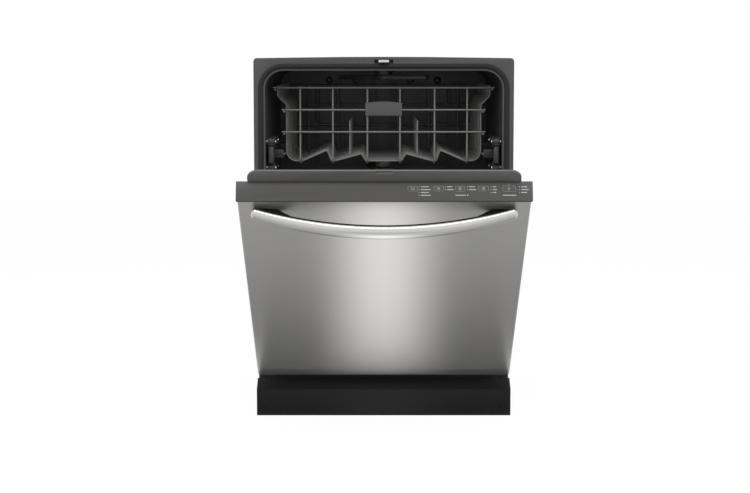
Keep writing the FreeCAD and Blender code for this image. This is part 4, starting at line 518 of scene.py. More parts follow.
def creases(shape, test=anywhere, least=30):
    """The sharp edges whose middle and direction pass a test."""
    found = []
    for edge in shape.edges:
        if len(edge.link_faces) == 2 and edge.calc_face_angle() > math.radians(least):
            ends = [corner.co for corner in edge.verts]
            if test((ends[0] + ends[1]) / 2, ends[1] - ends[0]):
                found.append(edge)
    return found


def lumps(node):
    """The lowest and highest corner of each separate solid of a node, in order from left to right."""
    shape = merged(node)
    left = set(shape.verts)
    found = []
    while left:
        lump = [left.pop()]
        for spot in lump:
            near = {edge.other_vert(spot) for edge in spot.link_edges} & left
            left -= near
            lump.extend(near)
        found.append(tuple(Vector([pick(spot.co[axis] for spot in lump) for axis in range(3)])
                           for pick in (min, max)))
    shape.free()
    return sorted(found, key=lambda corners: tuple(corners[0]))


print("merged, copied, creases and lumps ready")

# %% [markdown]
# A finished shape becomes an object that rides on a body of the machine, takes the finish of a slot of the
# record or a finish of its own, and stands for the nodes that it hides. Its place is in its mesh, so the
# object itself stays at the origin.

# %% Pieces


def piece(name, shape, slot, body, *stands_for, place=None, sharp=35, finish=None):
    """Makes a mesh of the shape an object that rides on a body and stands for some nodes."""
    if place:
        bmesh.ops.transform(shape, matrix=place, verts=shape.verts)
    mesh = bpy.data.meshes.new(name)
    shape.to_mesh(mesh)
    shape.free()
    if mesh.attributes.get("custom_normal"):
        mesh.attributes.remove(mesh.attributes["custom_normal"])
    mesh.materials.clear()
    mesh.materials.append(finish or FINISHES[slot])
    mesh.shade_smooth()
    mesh.set_sharp_from_angle(angle=math.radians(sharp))
    made = bpy.data.objects.new(name, mesh)
    scene.collection.objects.link(made)
    if body:
        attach(made, body)
    if stands_for:
        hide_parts(*stands_for)
    print(name, len(mesh.polygons), "faces on", body)
    return made


def body_of(node):
    """The body that a node moves with."""
    return nodes[node].parent.name.split(":")[1]


def rounded_copy(node, width, steps=3, test=anywhere, least=30, finish=None):
    """A copy of a node with some of its edges rounded, in the node's place."""
    shape = copied(node)
    soften(shape, creases(shape, test, least), width, steps)
    return piece(f"{node}_rounded", shape, slot_of[node], body_of(node), node, finish=finish)


print("piece and rounded_copy ready")

# %% [markdown]
# Seals and wires are sweeps. A rim of edges is drawn out along a straight way or round a centre, again and
# again, and the ends are filled last.

# %% Sweeps


def pushed(shape, rim, way):
    """Draws a rim of edges out along a straight way, and gives the new rim."""
    made = bmesh.ops.extrude_edge_only(shape, edges=rim)["geom"]
    fresh = {part for part in made if isinstance(part, bmesh.types.BMVert)}
    bmesh.ops.translate(shape, verts=list(fresh), vec=way)
    return [part for part in made if isinstance(part, bmesh.types.BMEdge) and set(part.verts) <= fresh]


def swung(shape, rim, centre, axis, angle, steps, step_way=(0, 0, 0)):
    """Draws a rim of edges round a centre, and gives the new rim."""
    ends = list({corner for edge in rim for corner in edge.verts})
    last = bmesh.ops.spin(shape, geom=ends + rim, cent=centre, axis=axis, angle=angle, steps=steps,
                          dvec=step_way)["geom_last"]
    return [part for part in last if isinstance(part, bmesh.types.BMEdge)]


def closed(shape):
    """Fills the open ends of a swept shape and turns its faces outward."""
    bmesh.ops.holes_fill(shape, edges=[edge for edge in shape.edges if edge.is_boundary], sides=0)
    bmesh.ops.recalc_face_normals(shape, faces=shape.faces)


print("pushed, swung and closed ready")

# %% [markdown]
# ## The door
# The outer panel is one sheet of steel, folded back at both sides and at the bottom. A sheet can't be
# folded to a sharp edge, so the folds get a radius of a few millimetres, and those rounded edges catch the
# light as thin bright lines. A block without its back and top, bevelled and then given its gauge with
# solidify, is just such a tray. Its UV map runs up the sheet, across the brushing.

# %% Steel panel
FOLD_RADIUS = 3.5 * MM
SHEET = 1.2 * MM
low, high = shut_box("door_panel")
shape = bmesh.new()
block(shape, low, high)
open_sides = [face for face in shape.faces if face.normal.y > 0.9 or face.normal.z > 0.9]
bmesh.ops.delete(shape, geom=open_sides, context="FACES")
soften(shape, [edge for edge in shape.edges if len(edge.link_faces) == 2], FOLD_RADIUS, 5)
bmesh.ops.solidify(shape, geom=shape.faces[:], thickness=SHEET)
brushed = shape.loops.layers.uv.new("Brushed")
for face in shape.faces:
    for corner in face.loops:
        corner[brushed].uv = (corner.vert.co.z, corner.vert.co.x)
piece("steel_panel", shape, "door_steel", "door", "door_panel", place=HUNG, sharp=50)

# %% [markdown]
# The handle is a bar of oval section, bowed forward in a gentle arc and rounded at both ends. A circle
# squeezed to the oval and spun about the arc's centre makes the bar, and a bevel of its two end faces makes
# the tips. The bar is fuller in the middle than at its ends, and it sags there by a few millimetres. Its
# back, which faces the door, is painted dark as shade: it stands in for the bar's shadowed back and its
# dark reflection in the steel.

# %% Handle
CLOSE = 0.05 * MM
BAR_TALL, BAR_DEEP = 13.5 * MM, 11 * MM
BOW = 44.5 * MM
TIP = 8 * MM
SWELL = 0.2
SAG = 5.5 * MM
BACK_TURN = 0.16
bar_low, bar_high = shut_box("handle")
panel_face = low.y
half_span = (bar_high.x - bar_low.x) / 2
tip_y = panel_face - BAR_DEEP
bar_z = (bar_low.z + bar_high.z) / 2
bow_radius = (half_span ** 2 + BOW ** 2) / (2 * BOW)
bow_centre = Vector((0, tip_y - BOW + bow_radius, bar_z))
half_turn = math.asin(half_span / bow_radius)
shape = bmesh.new()
squeeze = Matrix.Translation((0, tip_y - BOW, bar_z)) @ Matrix.Rotation(math.pi / 2, 4, "Y")
squeeze = squeeze @ Matrix.Diagonal((BAR_TALL, BAR_DEEP, 1, 1))
oval = bmesh.ops.create_circle(shape, radius=1, segments=32, matrix=squeeze)["verts"]
bmesh.ops.rotate(shape, cent=bow_centre, matrix=Matrix.Rotation(-half_turn, 3, "Z"), verts=oval)
ring = [edge for edge in shape.edges]
bmesh.ops.spin(shape, geom=oval + ring, cent=bow_centre, axis=(0, 0, 1), angle=2 * half_turn, steps=72)
open_rims = [edge for edge in shape.edges if edge.is_boundary]
ends = bmesh.ops.holes_fill(shape, edges=open_rims, sides=0)["faces"]
bmesh.ops.recalc_face_normals(shape, faces=shape.faces)
soften(shape, {edge for face in ends for edge in face.edges}, TIP, 6)
bmesh.ops.dissolve_degenerate(shape, dist=10 * MERGE, edges=shape.edges)
for corner in shape.verts:
    full = 1 - (corner.co.x / half_span) ** 2
    bow_line = bow_centre.y - math.sqrt(bow_radius ** 2 - corner.co.x ** 2)
    corner.co.y += (corner.co.y - bow_line) * SWELL * full
    corner.co.z += (corner.co.z - bar_z) * SWELL * full - SAG * full
bar = piece("handle_bar", shape, "handle_steel", "door", "handle", place=HUNG, sharp=40)
# The faces turned towards the door get the dark steel as painted shade, for the bar's shadowed back.
bar.data.materials.append(dark_steel_and_painted_shade)
towards_door = HUNG.to_3x3() @ Vector((0, 1, 0))
for face in bar.data.polygons:
    face.material_index = int(face.normal.dot(towards_door) > BACK_TURN)

# %% [markdown]
# Two dark feet carry the bar on the steel. From above each is a wedge that fills the narrowing gap behind
# the bar: a block with one corner pulled back towards the door and one along it. Their dark steel is
# painted shade, for the shade in that gap and the bar's dark back mirrored in the steel.

# %% Handle feet
FOOT_START, FOOT_ROOT, FOOT_END = 14 * MM, 50 * MM, 100 * MM
FOOT_THIN, FOOT_DEEP = 11 * MM, 30 * MM
FOOT_TALL, FOOT_EDGE = 14 * MM, 1.5 * MM
shape = bmesh.new()
for side in (-1, 1):
    outer, inner = side * (half_span - FOOT_START), side * (half_span - FOOT_END)
    foot = block(shape, (min(outer, inner), panel_face - FOOT_DEEP, bar_z - FOOT_TALL),
                 (max(outer, inner), panel_face, bar_z))
    for corner in foot:
        if abs(corner.co.x - outer) < CLOSE and corner.co.y < panel_face - CLOSE:
            corner.co.y = panel_face - FOOT_THIN
        elif abs(corner.co.x - inner) < CLOSE and corner.co.y > panel_face - CLOSE:
            corner.co.x = side * (half_span - FOOT_ROOT)
soften(shape, shape.edges[:], FOOT_EDGE, 2)
# The feet's dark steel is painted shade for the gap behind the bar's ends.
piece("handle_feet", shape, "handle_steel", "door", place=HUNG, finish=dark_steel_and_painted_shade)

# %% [markdown]
# The console is a hollow moulding with a sloping face. Its long edges are rounded in the mould, and in the
# photograph they show as two pale lines. The CAD shape is right, so its copy only gets those edges
# rounded, and its five keys get a finer radius all round.

# %% Console and keys
LONG = 0.25
CONSOLE_EDGE, KEY_EDGE = 1.2 * MM, 0.45 * MM
KEYS = ("key_cycle", "key_heat", "key_dry", "key_delay", "key_start")


def long_edge(middle, along):
    return along.length > LONG


rounded_copy("console", CONSOLE_EDGE, 3, long_edge)
for key in KEYS:
    rounded_copy(key, KEY_EDGE, 2)

# %% [markdown]
# The console is printed with plain signs: a pictogram and a thin frame on each key, and rows of a dot and a
# bar where the choices are printed. They are drawn as flat strokes in the plane of the sloping face, in
# millimetres across and up the face, and get the thickness of a layer of ink.

# %% Strokes on the console
console_low, console_high = shut_box("console")
outline = [HUNG.inverted() @ spot.co for spot in nodes["console"].data.vertices]
slope_foot = Vector((0, console_low.y, max(spot.z for spot in outline if spot.y < console_low.y + CLOSE)))
slope_top = Vector((0, min(spot.y for spot in outline if spot.z > console_high.z - CLOSE), console_high.z))
face_up = (slope_top - slope_foot).normalized()
face_axes = Matrix((Vector((1, 0, 0)), face_up, Vector((1, 0, 0)).cross(face_up))).transposed()
FACE = HUNG @ Matrix.Translation(slope_foot) @ face_axes.to_4x4()
INK = 0.15 * MM
FINISHES["ink"] = moulded("pale_grey_ink", "b0b0ae", 0.5, drift=0.03)


def arc(radius, start, end, centre=(0, 0), steps=20):
    """Points along an arc, from one angle in degrees to another."""
    angles = [math.radians(start + (end - start) * step / steps) for step in range(steps + 1)]
    return [(centre[0] + radius * math.cos(angle), centre[1] + radius * math.sin(angle))
            for angle in angles]


def stroke(shape, spots, width):
    """A flat ribbon along a line of points."""
    spots = [Vector(spot) for spot in spots]
    rims = []
    for place, spot in enumerate(spots):
        way = spots[min(place + 1, len(spots) - 1)] - spots[max(place - 1, 0)]
        flank = Vector((-way.y, way.x)).normalized() * width / 2
        rims.append([shape.verts.new((*(spot + side) * MM, 0)) for side in (flank, -flank)])
    for (left, right), (next_left, next_right) in zip(rims, rims[1:]):
        shape.faces.new((left, right, next_right, next_left))


def dot(shape, centre, radius):
    """A flat round spot."""
    shape.faces.new([shape.verts.new((x * MM, y * MM, 0)) for x, y in arc(radius, 0, 337.5, centre, 15)])


def printed(name, shape, slot, body, height):
    """Gives flat strokes the thickness of ink and lays them on the console's face."""
    raised = bmesh.ops.extrude_face_region(shape, geom=shape.faces[:])["geom"]
    lifted = [part for part in raised if isinstance(part, bmesh.types.BMVert)]
    bmesh.ops.translate(shape, vec=(0, 0, INK), verts=lifted)
    bmesh.ops.recalc_face_normals(shape, faces=shape.faces)
    place = FACE @ Matrix.Translation((0, 0, height))
    return piece(name, shape, slot, body, place=place, finish=FINISHES["ink"])


print("sloping face", round((slope_top - slope_foot).length / MM, 1), "mm high")

# %% [markdown]
# Each key's own mesh says where its face is. The signs are an arrow that goes round, three warm waves, a
# drop, a clock and a triangle.

# %% Signs on the keys
WAVE = [(0.6 * math.sin(step * math.pi / 4), 0.6 * step - 2.4) for step in range(9)]
DROP = [(0, 3.4), *arc(2.1, 35, -215, (0, -0.9)), (0, 3.4)]
SIGNS = (
    [arc(2.8, 110, 380), [(1.2, 1.9), (2.6, 0.9), (3.9, 2.2)]],
    [[(x + 2.2 * row, y) for x, y in WAVE] for row in (-1, 0, 1)],
    [DROP],
    [arc(2.8, 0, 360), [(0, 1.9), (0, 0), (1.3, -0.8)]],
    [[(-1.8, -2.9), (3.1, 0), (-1.8, 2.9), (-1.8, -2.9)]],
)
LINE = 0.6
FRAME_INSET, FRAME_CORNER = 3, 2
for key, signs in zip(KEYS, SIGNS):
    spots = [FACE.inverted() @ spot.co for spot in nodes[key].data.vertices]
    proud = max(spot.z for spot in spots)
    top = [spot for spot in spots if spot.z > proud - CLOSE]
    left, right = [pick(spot.x for spot in top) / MM for pick in (min, max)]
    foot, head = [pick(spot.y for spot in top) / MM for pick in (min, max)]
    centre = Vector(((left + right) / 2, (foot + head) / 2))
    shape = bmesh.new()
    for sign in signs:
        stroke(shape, [centre + Vector(spot) for spot in sign], LINE)
    corners = ((right, head, 0), (left, head, 90), (left, foot, 180), (right, foot, 270))
    frame_line = []
    for x, y, start in corners:
        middle = [edge + math.copysign(FRAME_INSET, mid - edge) for edge, mid in zip((x, y), centre)]
        frame_line += arc(FRAME_CORNER, start, start + 90, middle, 5)
    stroke(shape, [*frame_line, frame_line[0]], LINE / 2)
    printed(f"{key}_sign", shape, "key_plastic", key, proud)

# %% [markdown]
# The rows of choices stand to the right of the keys. A small lamp's dot is above the large key, and a
# caption's bar is under two of the keys.

# %% Rows on the console
ROW_TOP, ROW_STEP, ROW_GAP = 29.5, 5.9, 3.5
ROWS = [(70.5, 20, 4), (123.6, 13, 2), (168.7, 14, 2), (216.6, 8, 3), (273.8, 15, 3)]
CAPTION_Y = 12
CAPTIONS = ((144, 165), (240, 267))
BAR_WIDE = 1.4
shape = bmesh.new()
for left, length, count in ROWS:
    for row in range(count):
        y = ROW_TOP - row * ROW_STEP
        start = left + ROW_GAP
        dot(shape, (left, y), 0.8)
        stroke(shape, [(start, y), (start + length * (0.8 + 0.2 * (row % 2)), y)], BAR_WIDE)
dot(shape, (253, 34.5), 0.9)
dot(shape, (168.7, CAPTION_Y), 1.3)
for left, right in CAPTIONS:
    stroke(shape, [(left, CAPTION_Y), (right, CAPTION_Y)], BAR_WIDE)
printed("console_rows", shape, "console_plastic", "door", 0)

# %% [markdown]
# ## The tub
# The tub's front flange is where the moulding shows most: its rim, the lip of the opening and the groove
# for the seal all have small radii. The first test below picks the flange's two outer corners, which get a
# larger radius, and the second the edges that lie in its face.

# %% Tub
FLANGE_CORNER, FLANGE_EDGE = 8 * MM, 1.0 * MM
flange_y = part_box("tub")[0].y


def in_flange_face(middle, along):
    return abs(middle.y - flange_y) < 0.1 * MM


def outer_corner(middle, along):
    at_the_rim = middle.z > 0.8 and abs(middle.x) > 0.299
    return at_the_rim and abs(along.y) > 0.9 * along.length


shape = copied("tub")
soften(shape, creases(shape, outer_corner), FLANGE_CORNER, 6)
soften(shape, creases(shape, in_flange_face), FLANGE_EDGE, 3)
piece("tub_rounded", shape, "tub_plastic", "cabinet", "tub")

# %% [markdown]
# ## The toe kick
# The toe kick is bent and painted sheet. Its bend and its edges get a radius.

# %% Toe kick
TOE_BEND = 1.0 * MM
rounded_copy("toe_kick", TOE_BEND, 3, long_edge, 15)

# %% [markdown]
# Two pan-headed screws hold the toe kick, each a lathe shape with a crossed slot, which two dark strips
# stand for: they are painted shade, the shade inside the slot's recess.

# %% Toe kick screws
SLOT_LONG, SLOT_WIDE, SLOT_PROUD = 3, 0.7, 0.15
for number, (low, high) in enumerate(lumps("toe_kick_screws")):
    radius = (high.x - low.x) / 2 / MM
    middle = (low + high) / 2
    shape = bmesh.new()
    dome = [(0, 0), (0.5 * radius, 0.1), (0.8 * radius, 0.5), (radius, 1.3), (radius, 2.2), (0, 2.2)]
    turned(shape, dome, (middle.x, low.y, middle.z), "Y")
    piece(f"toe_screw_{number}", shape, "screw_steel", "cabinet", *["toe_kick_screws"][:1 - number],
          finish=dark_steel_and_painted_shade)
    # Painted shade for the crossed slot: two dark strips just proud of the head.
    shape = bmesh.new()
    for wide, tall in ((SLOT_LONG, SLOT_WIDE), (SLOT_WIDE, SLOT_LONG)):
        half = Vector((wide / 2, 0.1, tall / 2)) * MM
        spot = Vector((middle.x, low.y + SLOT_PROUD * MM, middle.z))
        block(shape, spot - half, spot + half)
    piece(f"toe_screw_slot_{number}", shape, "black_plastic", "cabinet")

# %% [markdown]
# Behind the toe kick the base pan turns up to a lip that closes the view under the door. Its two ends reach
# out to the edges of the door. They are the pan's own black plastic, and partly painted shade as well: dark
# sheets that fill the shaded gap under the door.

# %% Ends of the pan's lip
LIP_REACH, LIP_GAUGE, LIP_DROP = 299 * MM, 1.5 * MM, 12 * MM
lip_low, lip_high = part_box("base_pan")
toe_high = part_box("toe_kick")[1]
# Black sheets at the lip's ends, partly painted shade for the gap under the door.
shape = bmesh.new()
for side in (-1, 1):
    ends = sorted((side * lip_high.x, side * LIP_REACH))
    block(shape, (ends[0], lip_low.y, toe_high.z - LIP_DROP),
          (ends[1], lip_low.y + LIP_GAUGE, lip_high.z))
soften(shape, shape.edges[:], 0.3 * MM, 2)
piece("pan_lip_ends", shape, "black_plastic", "cabinet")

# %% [markdown]
# ## Seals
# The tub's seal is a strip of rubber whose root is pressed into the groove round the opening, with a soft
# lip that lies over the flange towards the opening. One profile is drawn up one side, round a corner, along
# the top and down again.

# %% Tub seal
SEAL_WIDE = 4.5 * MM
SEAL_CORNER = 55 * MM
seal_low, seal_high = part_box("tub_seal")
leg_x = seal_high.x - SEAL_WIDE / 2
turn_z = seal_high.z - SEAL_WIDE / 2 - SEAL_CORNER
root = SEAL_WIDE / 2 / MM
lip = [(-root, -0.2), (-1.9, -1.8), (-0.6, -3.2), (1.2, -3.9), (3.2, -3.8), (5.4, -3.0), (7.9, -1.7),
       (9.4, -0.9), (9.2, -0.3), (root, -0.2)]
shape = bmesh.new()
spots = [shape.verts.new((x * MM - leg_x, flange_y + y * MM, seal_low.z)) for x, y in lip]
spots += [shape.verts.new((x - leg_x, seal_high.y, seal_low.z)) for x in (SEAL_WIDE / 2, -SEAL_WIDE / 2)]
rim = [shape.edges.new(ends) for ends in zip(spots, spots[1:] + spots[:1])]
rim = pushed(shape, rim, (0, 0, turn_z - seal_low.z))
rim = swung(shape, rim, (SEAL_CORNER - leg_x, 0, turn_z), (0, 1, 0), math.pi / 2, 14)
rim = pushed(shape, rim, (2 * (leg_x - SEAL_CORNER), 0, 0))
rim = swung(shape, rim, (leg_x - SEAL_CORNER, 0, turn_z), (0, 1, 0), math.pi / 2, 14)
pushed(shape, rim, (0, 0, seal_low.z - turn_z))
closed(shape)
piece("tub_seal_lip", shape, "seal_rubber", "cabinet", "tub_seal", sharp=50)

# %% [markdown]
# The door's lower edge carries a straight strip of the same rubber, nearly round in section.

# %% Sill seal
low, high = shut_box("door_sill_seal")
shape = bmesh.new()
block(shape, low, high)
thin = min(high.y - low.y, high.z - low.z)
lengthways = [edge for edge in shape.edges if edge.calc_length() > LONG]
soften(shape, lengthways, 0.42 * thin, 5)
piece("sill_seal_bulb", shape, "seal_rubber", "door", "door_sill_seal", place=HUNG)

# %% [markdown]
# ## Inside the tub
# The back wall is stiffened with an upright double rib near each corner and a ledge across, and round
# bosses stand in a row near the ceiling. Each is a block or a lathe shape on the inner face of the wall.

# %% Back wall
WALL, ROOT = 3.5 * MM, 1 * MM
RIB_X = (171 * MM, 179 * MM)
RIB_HALF, RIB_PROUD, RIB_SPAN = 1.6 * MM, 2.5 * MM, (0.215, 0.765)
LEDGE_X, LEDGE_Z, LEDGE_PROUD = (24 * MM, 166 * MM), (559 * MM, 567 * MM), 5 * MM
BOSS_X, BOSS_Z = (72 * MM, 144 * MM), 785 * MM
BOSS = [(0, -4), (4, -3.8), (7, -3), (9, -1.2), (9.5, 0.5), (0, 0.5)]
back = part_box("tub")[1].y - WALL
shape = bmesh.new()
for side in (-1, 1):
    for x in RIB_X:
        block(shape, (side * x - RIB_HALF, back - RIB_PROUD, RIB_SPAN[0]),
              (side * x + RIB_HALF, back + ROOT, RIB_SPAN[1]))
    ledge = sorted(side * x for x in LEDGE_X)
    block(shape, (ledge[0], back - LEDGE_PROUD, LEDGE_Z[0]), (ledge[1], back + ROOT, LEDGE_Z[1]))
soften(shape, shape.edges[:], 0.9 * MM, 3)
for x in BOSS_X:
    for side in (-1, 1):
        turned(shape, BOSS, (side * x, back, BOSS_Z), "Y")
piece("back_wall_ribs", shape, "tub_plastic", "cabinet")

# %% [markdown]
# Outside, the moulded shell has a grid of low ribs on both sides and on top.

# %% Outer ribs
SHELL_HALF, SHELL_TOP = 277 * MM, 815.5 * MM
RIB_HIGH, RIB_WIDE = 1.6 * MM, 2 * MM
UPRIGHT_Y, UPRIGHT_Z = (0.06, 0.15, 0.24, 0.33, 0.42, 0.51), (0.3, 0.77)
LEVEL_Z, LEVEL_Y = (0.38, 0.56, 0.74), (0.03, 0.54)
TOP_X = 0.23
shape = bmesh.new()
for side in (-1, 1):
    walls = sorted((side * (SHELL_HALF - ROOT), side * (SHELL_HALF + RIB_HIGH)))
    for y in UPRIGHT_Y:
        block(shape, (walls[0], y - RIB_WIDE, UPRIGHT_Z[0]), (walls[1], y + RIB_WIDE, UPRIGHT_Z[1]))
    for z in LEVEL_Z:
        block(shape, (walls[0], LEVEL_Y[0], z - RIB_WIDE), (walls[1], LEVEL_Y[1], z + RIB_WIDE))
for y in UPRIGHT_Y:
    block(shape, (-TOP_X, y - RIB_WIDE, SHELL_TOP - ROOT), (TOP_X, y + RIB_WIDE, SHELL_TOP + RIB_HIGH))
soften(shape, shape.edges[:], 0.7 * MM, 2)
piece("shell_ribs", shape, "tub_plastic", "cabinet")

# %% [markdown]
# ## Rollers, rails and other mouldings
# All these are right as the CAD has them, and only lack the radii of a mould. Sheet-metal pieces get a
# smaller one, as sheared edges have.

# %% Rounded mouldings
MOULDED = {"rail_caps": 3.6, "upper_rails": 1.0, "rail_brackets": 0.8, "rack_badge": 0.8,
           "dispenser": 0.8, "dispenser_lid": 0.9, "rinse_cap": 0.7, "latch_housing": 0.6, "float": 1.0,
           "sump": 1.5, "junction_box": 1.0, "inlet_valve": 0.8, "drain_pump": 1.0, "wash_pump_motor": 1.5,
           "roller_front_upper": 1.0, "roller_front_lower": 1.0, "roller_rear_upper": 1.0,
           "roller_rear_lower": 1.0, "lower_front_wheels": 1.2, "lower_rear_wheels": 1.2,
           "lower_wheel_brackets": 0.8, "top_spray_arm": 1.5, "mid_spray_arm": 1.5, "lower_spray_arm": 1.5,
           "mid_spray_feed": 0.8, "filter_cylinder": 0.6}
SHEARED = {"hinge_brackets": 0.4, "hinge_arms": 0.4, "countertop_brackets": 0.3, "base_frame": 0.5,
           "latch_hook": 0.3, "base_pan": 0.4}
for node, width in (MOULDED | SHEARED).items():
    rounded_copy(node, width * MM)

# %% [markdown]
# The door's liner and the latch's keeper are moulded apart from the tub, of the same plastic, and get a
# lighter copy of its finish.

# %% Liner
LINER_EDGE, KEEPER_EDGE = 1.5 * MM, 0.4 * MM
light_plastic = moulded("light_grey_polypropylene", "545250", 0.42, ior=1.49)
rounded_copy("door_liner", LINER_EDGE, finish=light_plastic)
rounded_copy("door_keeper", KEEPER_EDGE, finish=light_plastic)

# %% [markdown]
# ## Spray arms
# Water leaves each arm through small nozzles, which stand on the side that faces the racks: below on the
# top arm and above on the two others. The farthest point of an arm's mesh from the hub gives its direction.

# %% Nozzles
HUB = Vector((0, 0.28))
NOZZLE = [(0, 0.7), (1.0, 0.7), (1.3, 1.7), (2.6, 1.7), (3.8, 0.7), (4.2, -0.6), (0, -0.6)]
ALONG_ARM = (-0.88, -0.72, -0.55, -0.38, 0.3, 0.47, 0.64, 0.8)
for arm, facing in (("top_spray_arm", -1), ("mid_spray_arm", 1), ("lower_spray_arm", 1)):
    low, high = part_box(arm)
    level = high.z if facing > 0 else low.z
    reach = max((spot.co.xy - HUB for spot in nodes[arm].data.vertices), key=lambda away: away.length)
    shape = bmesh.new()
    for share in ALONG_ARM:
        place = (*(HUB + reach * share), level)
        turned(shape, [(radius, facing * height) for radius, height in NOZZLE], place, steps=16)
    piece(f"{arm}_nozzles", shape, "arm_plastic", body_of(arm))

# %% [markdown]
# ## Wires
# The racks' wire is dipped in nylon, which gathers as a small drop on every cut end. The tines and uprights
# are found as the tall thin solids of a rack's node, and the rails as the long flat ones.

# %% Dipped ends
DROP_RADIUS = 2.6 * MM
TALL_WIRE, WIRE_THIN = 0.05, 6 * MM
LONG_RAIL, RAIL_THIN = 0.3, 8 * MM
for rack in ("upper_rack", "lower_rack"):
    shape = bmesh.new()
    count = 0
    for low, high in lumps(rack):
        size = high - low
        middle = (low + high) / 2
        tips = []
        if size.z > TALL_WIRE and max(size.x, size.y) < WIRE_THIN:
            tips = [Vector((middle.x, middle.y, high.z))]
        elif size.x > LONG_RAIL and max(size.y, size.z) < RAIL_THIN:
            tips = [Vector((x, middle.y, middle.z)) for x in (low.x, high.x)]
        for tip in tips:
            bmesh.ops.create_uvsphere(shape, u_segments=12, v_segments=8, radius=DROP_RADIUS,
                                      matrix=Matrix.Translation(tip))
            count += 1
    piece(f"{rack}_ends", shape, "rack_coating", body_of(rack))
    print(count, "dipped ends on", rack)

# %% [markdown]
# ## Cutlery basket
# The basket's walls are a moulded lattice. A grid of faces for every wall, turned to bars by the wireframe
# operator, gives it, and a plain band closes the top of each wall.

# %% Lattice
BAR = 2.4 * MM
MESH = 11 * MM
RIM = 7 * MM
ROOMS = 3
low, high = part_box("cutlery_basket")
half_bar = Vector((BAR, BAR, BAR)) / 2
inner_low = low + half_bar
size = high - half_bar - inner_low
across, along, tall = [max(2, round(side / MESH)) for side in size]
along += -along % ROOMS
shape = bmesh.new()


def lattice(corner, first, second, counts):
    """A sheet of faces from a corner along two ways."""
    rows = [[shape.verts.new(corner + first * (i / counts[0]) + second * (j / counts[1]))
             for j in range(counts[1] + 1)] for i in range(counts[0] + 1)]
    for row, after in zip(rows, rows[1:]):
        for j in range(counts[1]):
            shape.faces.new((row[j], after[j], after[j + 1], row[j + 1]))


east, north, rise = [Vector([size[axis] if axis == way else 0 for axis in range(3)]) for way in range(3)]
lattice(inner_low, east, north, (across, along))
for place in (Vector(), east):
    lattice(inner_low + place, north, rise, (along, tall))
for step in range(ROOMS + 1):
    lattice(inner_low + north * (step / ROOMS), east, rise, (across, tall))
bmesh.ops.remove_doubles(shape, verts=shape.verts, dist=1e-6)
bmesh.ops.recalc_face_normals(shape, faces=shape.faces)
bmesh.ops.wireframe(shape, faces=shape.faces[:], thickness=BAR, use_replace=True, use_boundary=True,
                    use_even_offset=True)
for x in (low.x, high.x - BAR):
    block(shape, (x, low.y, high.z - RIM), (x + BAR, high.y, high.z))
for step in range(ROOMS + 1):
    y = low.y + (high.y - low.y - BAR) * step / ROOMS
    block(shape, (low.x, y, high.z - RIM), (high.x, y + BAR, high.z))
piece("cutlery_lattice", shape, "tub_plastic", "cutlery_basket", "cutlery_basket")

# %% [markdown]
# ## Legs
# A leg is a foot on a threaded rod. The lathe profile of the rod is a zigzag with one tooth for each turn.

# %% Levelling legs
THREAD, CORE, CREST = 1.25, 4.2, 5
ROD_START = 7
for number, (low, high) in enumerate(lumps("leveling_legs")):
    middle = (low + high) / 2
    foot = (high.x - low.x) / 2 / MM
    top = (high.z - low.z) / MM
    profile = [(0, 0), (foot - 1, 0), (foot, 1), (foot, 4), (foot - 1.5, 6), (CREST, ROD_START)]
    for turn in range(int((top - ROD_START - 1) / THREAD)):
        start = ROD_START + turn * THREAD
        profile += [(CORE, start), (CREST, start + THREAD / 2)]
    profile += [(CORE, top - 0.5), (0, top)]
    shape = bmesh.new()
    turned(shape, profile, (middle.x, middle.y, low.z), steps=24)
    piece(f"leg_{number}", shape, "screw_steel", "cabinet", *["leveling_legs"][:1 - number])

# %% [markdown]
# ## Door springs
# Each spring hangs between a stud on the hinge arm and an anchor on the base. It is drawn along its own
# axis first: an eye, a straight rod, a radial step, the coil, and the same at the other end. Every part of
# it starts from one round section of the wire.

# %% One spring, along its axis
WIRE, COIL, PITCH, TURNS = 1.1 * MM, 7 * MM, 3.4 * MM, 28
EYE_OUT = 6 * MM
COIL_STEPS, EYE_STEPS, BEND_STEPS = 14, 24, 12
UPRIGHT = Matrix.Rotation(math.pi / 2, 4, "X")


def section(shape, place):
    """A round section of the wire: its corners and its rim."""
    ring = bmesh.ops.create_circle(shape, radius=WIRE, segments=10, matrix=place)["verts"]
    return ring, list({edge for spot in ring for edge in spot.link_edges})


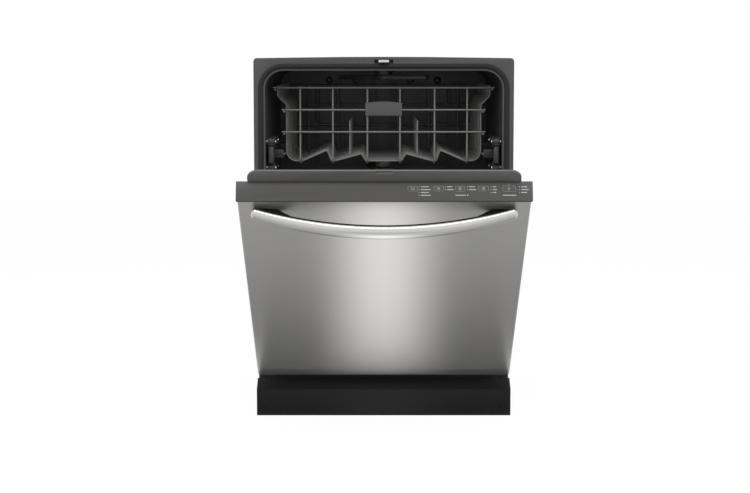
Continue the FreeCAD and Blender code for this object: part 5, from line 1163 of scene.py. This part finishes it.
def rod(shape, start, end, pieces=1):
    """A round wire from one point to another, in some pieces."""
    start, end = Vector(start), Vector(end)
    turn = (end - start).to_track_quat("Z", "Y").to_matrix().to_4x4()
    rim = section(shape, Matrix.Translation(start) @ turn)[1]
    for _ in range(pieces):
        rim = pushed(shape, rim, (end - start) / pieces)


def straight_spring(span, lead):
    """A spring up the Z axis, with rods of some lead between its eyes and its coil."""
    shape = bmesh.new()
    rim = section(shape, Matrix.Translation((COIL, 0, lead)) @ UPRIGHT)[1]
    swung(shape, rim, (0, 0, 0), (0, 0, 1), TURNS * 2 * math.pi, TURNS * COIL_STEPS,
          (0, 0, PITCH / COIL_STEPS))
    for height in (lead, span - lead):
        rod(shape, (COIL, 0, height), (0, 0, height))
    rod(shape, (0, 0, EYE_OUT - WIRE), (0, 0, lead), BEND_STEPS)
    rod(shape, (0, 0, span - lead), (0, 0, span - EYE_OUT + WIRE))
    for height in (0, span):
        ring, rim = section(shape, Matrix.Translation((0, 0, height + EYE_OUT - WIRE)) @ UPRIGHT)
        bmesh.ops.spin(shape, geom=ring + rim, cent=(0, 0, height), axis=(1, 0, 0), angle=2 * math.pi,
                       steps=EYE_STEPS, use_merge=True)
    closed(shape)
    return shape


print("a spring's coil is", round(TURNS * PITCH / MM), "mm long")

# %% [markdown]
# The stud moves with the door and the anchor stays; each spring is laid straight from the one to the other.

# %% Both springs
for name, side in (("left", -1), ("right", 1)):
    parts = [part for part in lumps("door_springs") if part[0].x * side > 0]
    low, high = [Vector([pick(corner[axis] for corner in corners) for axis in range(3)])
                 for pick, corners in zip((min, max), zip(*parts))]
    x = (low.x + high.x) / 2
    stud = Vector((x, low.y + EYE_OUT, high.z - EYE_OUT))
    anchor = Vector((x, high.y - EYE_OUT, low.z + EYE_OUT))
    span = (anchor - stud).length
    lead = (span - TURNS * PITCH) / 2
    along = (anchor - stud).normalized()
    axes = Matrix((Vector((1, 0, 0)), along.cross(Vector((1, 0, 0))), along)).transposed().to_4x4()
    spring = piece(f"door_spring_{name}", straight_spring(span, lead), "spring_steel", None, "door_springs",
                   place=Matrix.Translation(stud) @ axes)
    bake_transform(spring)
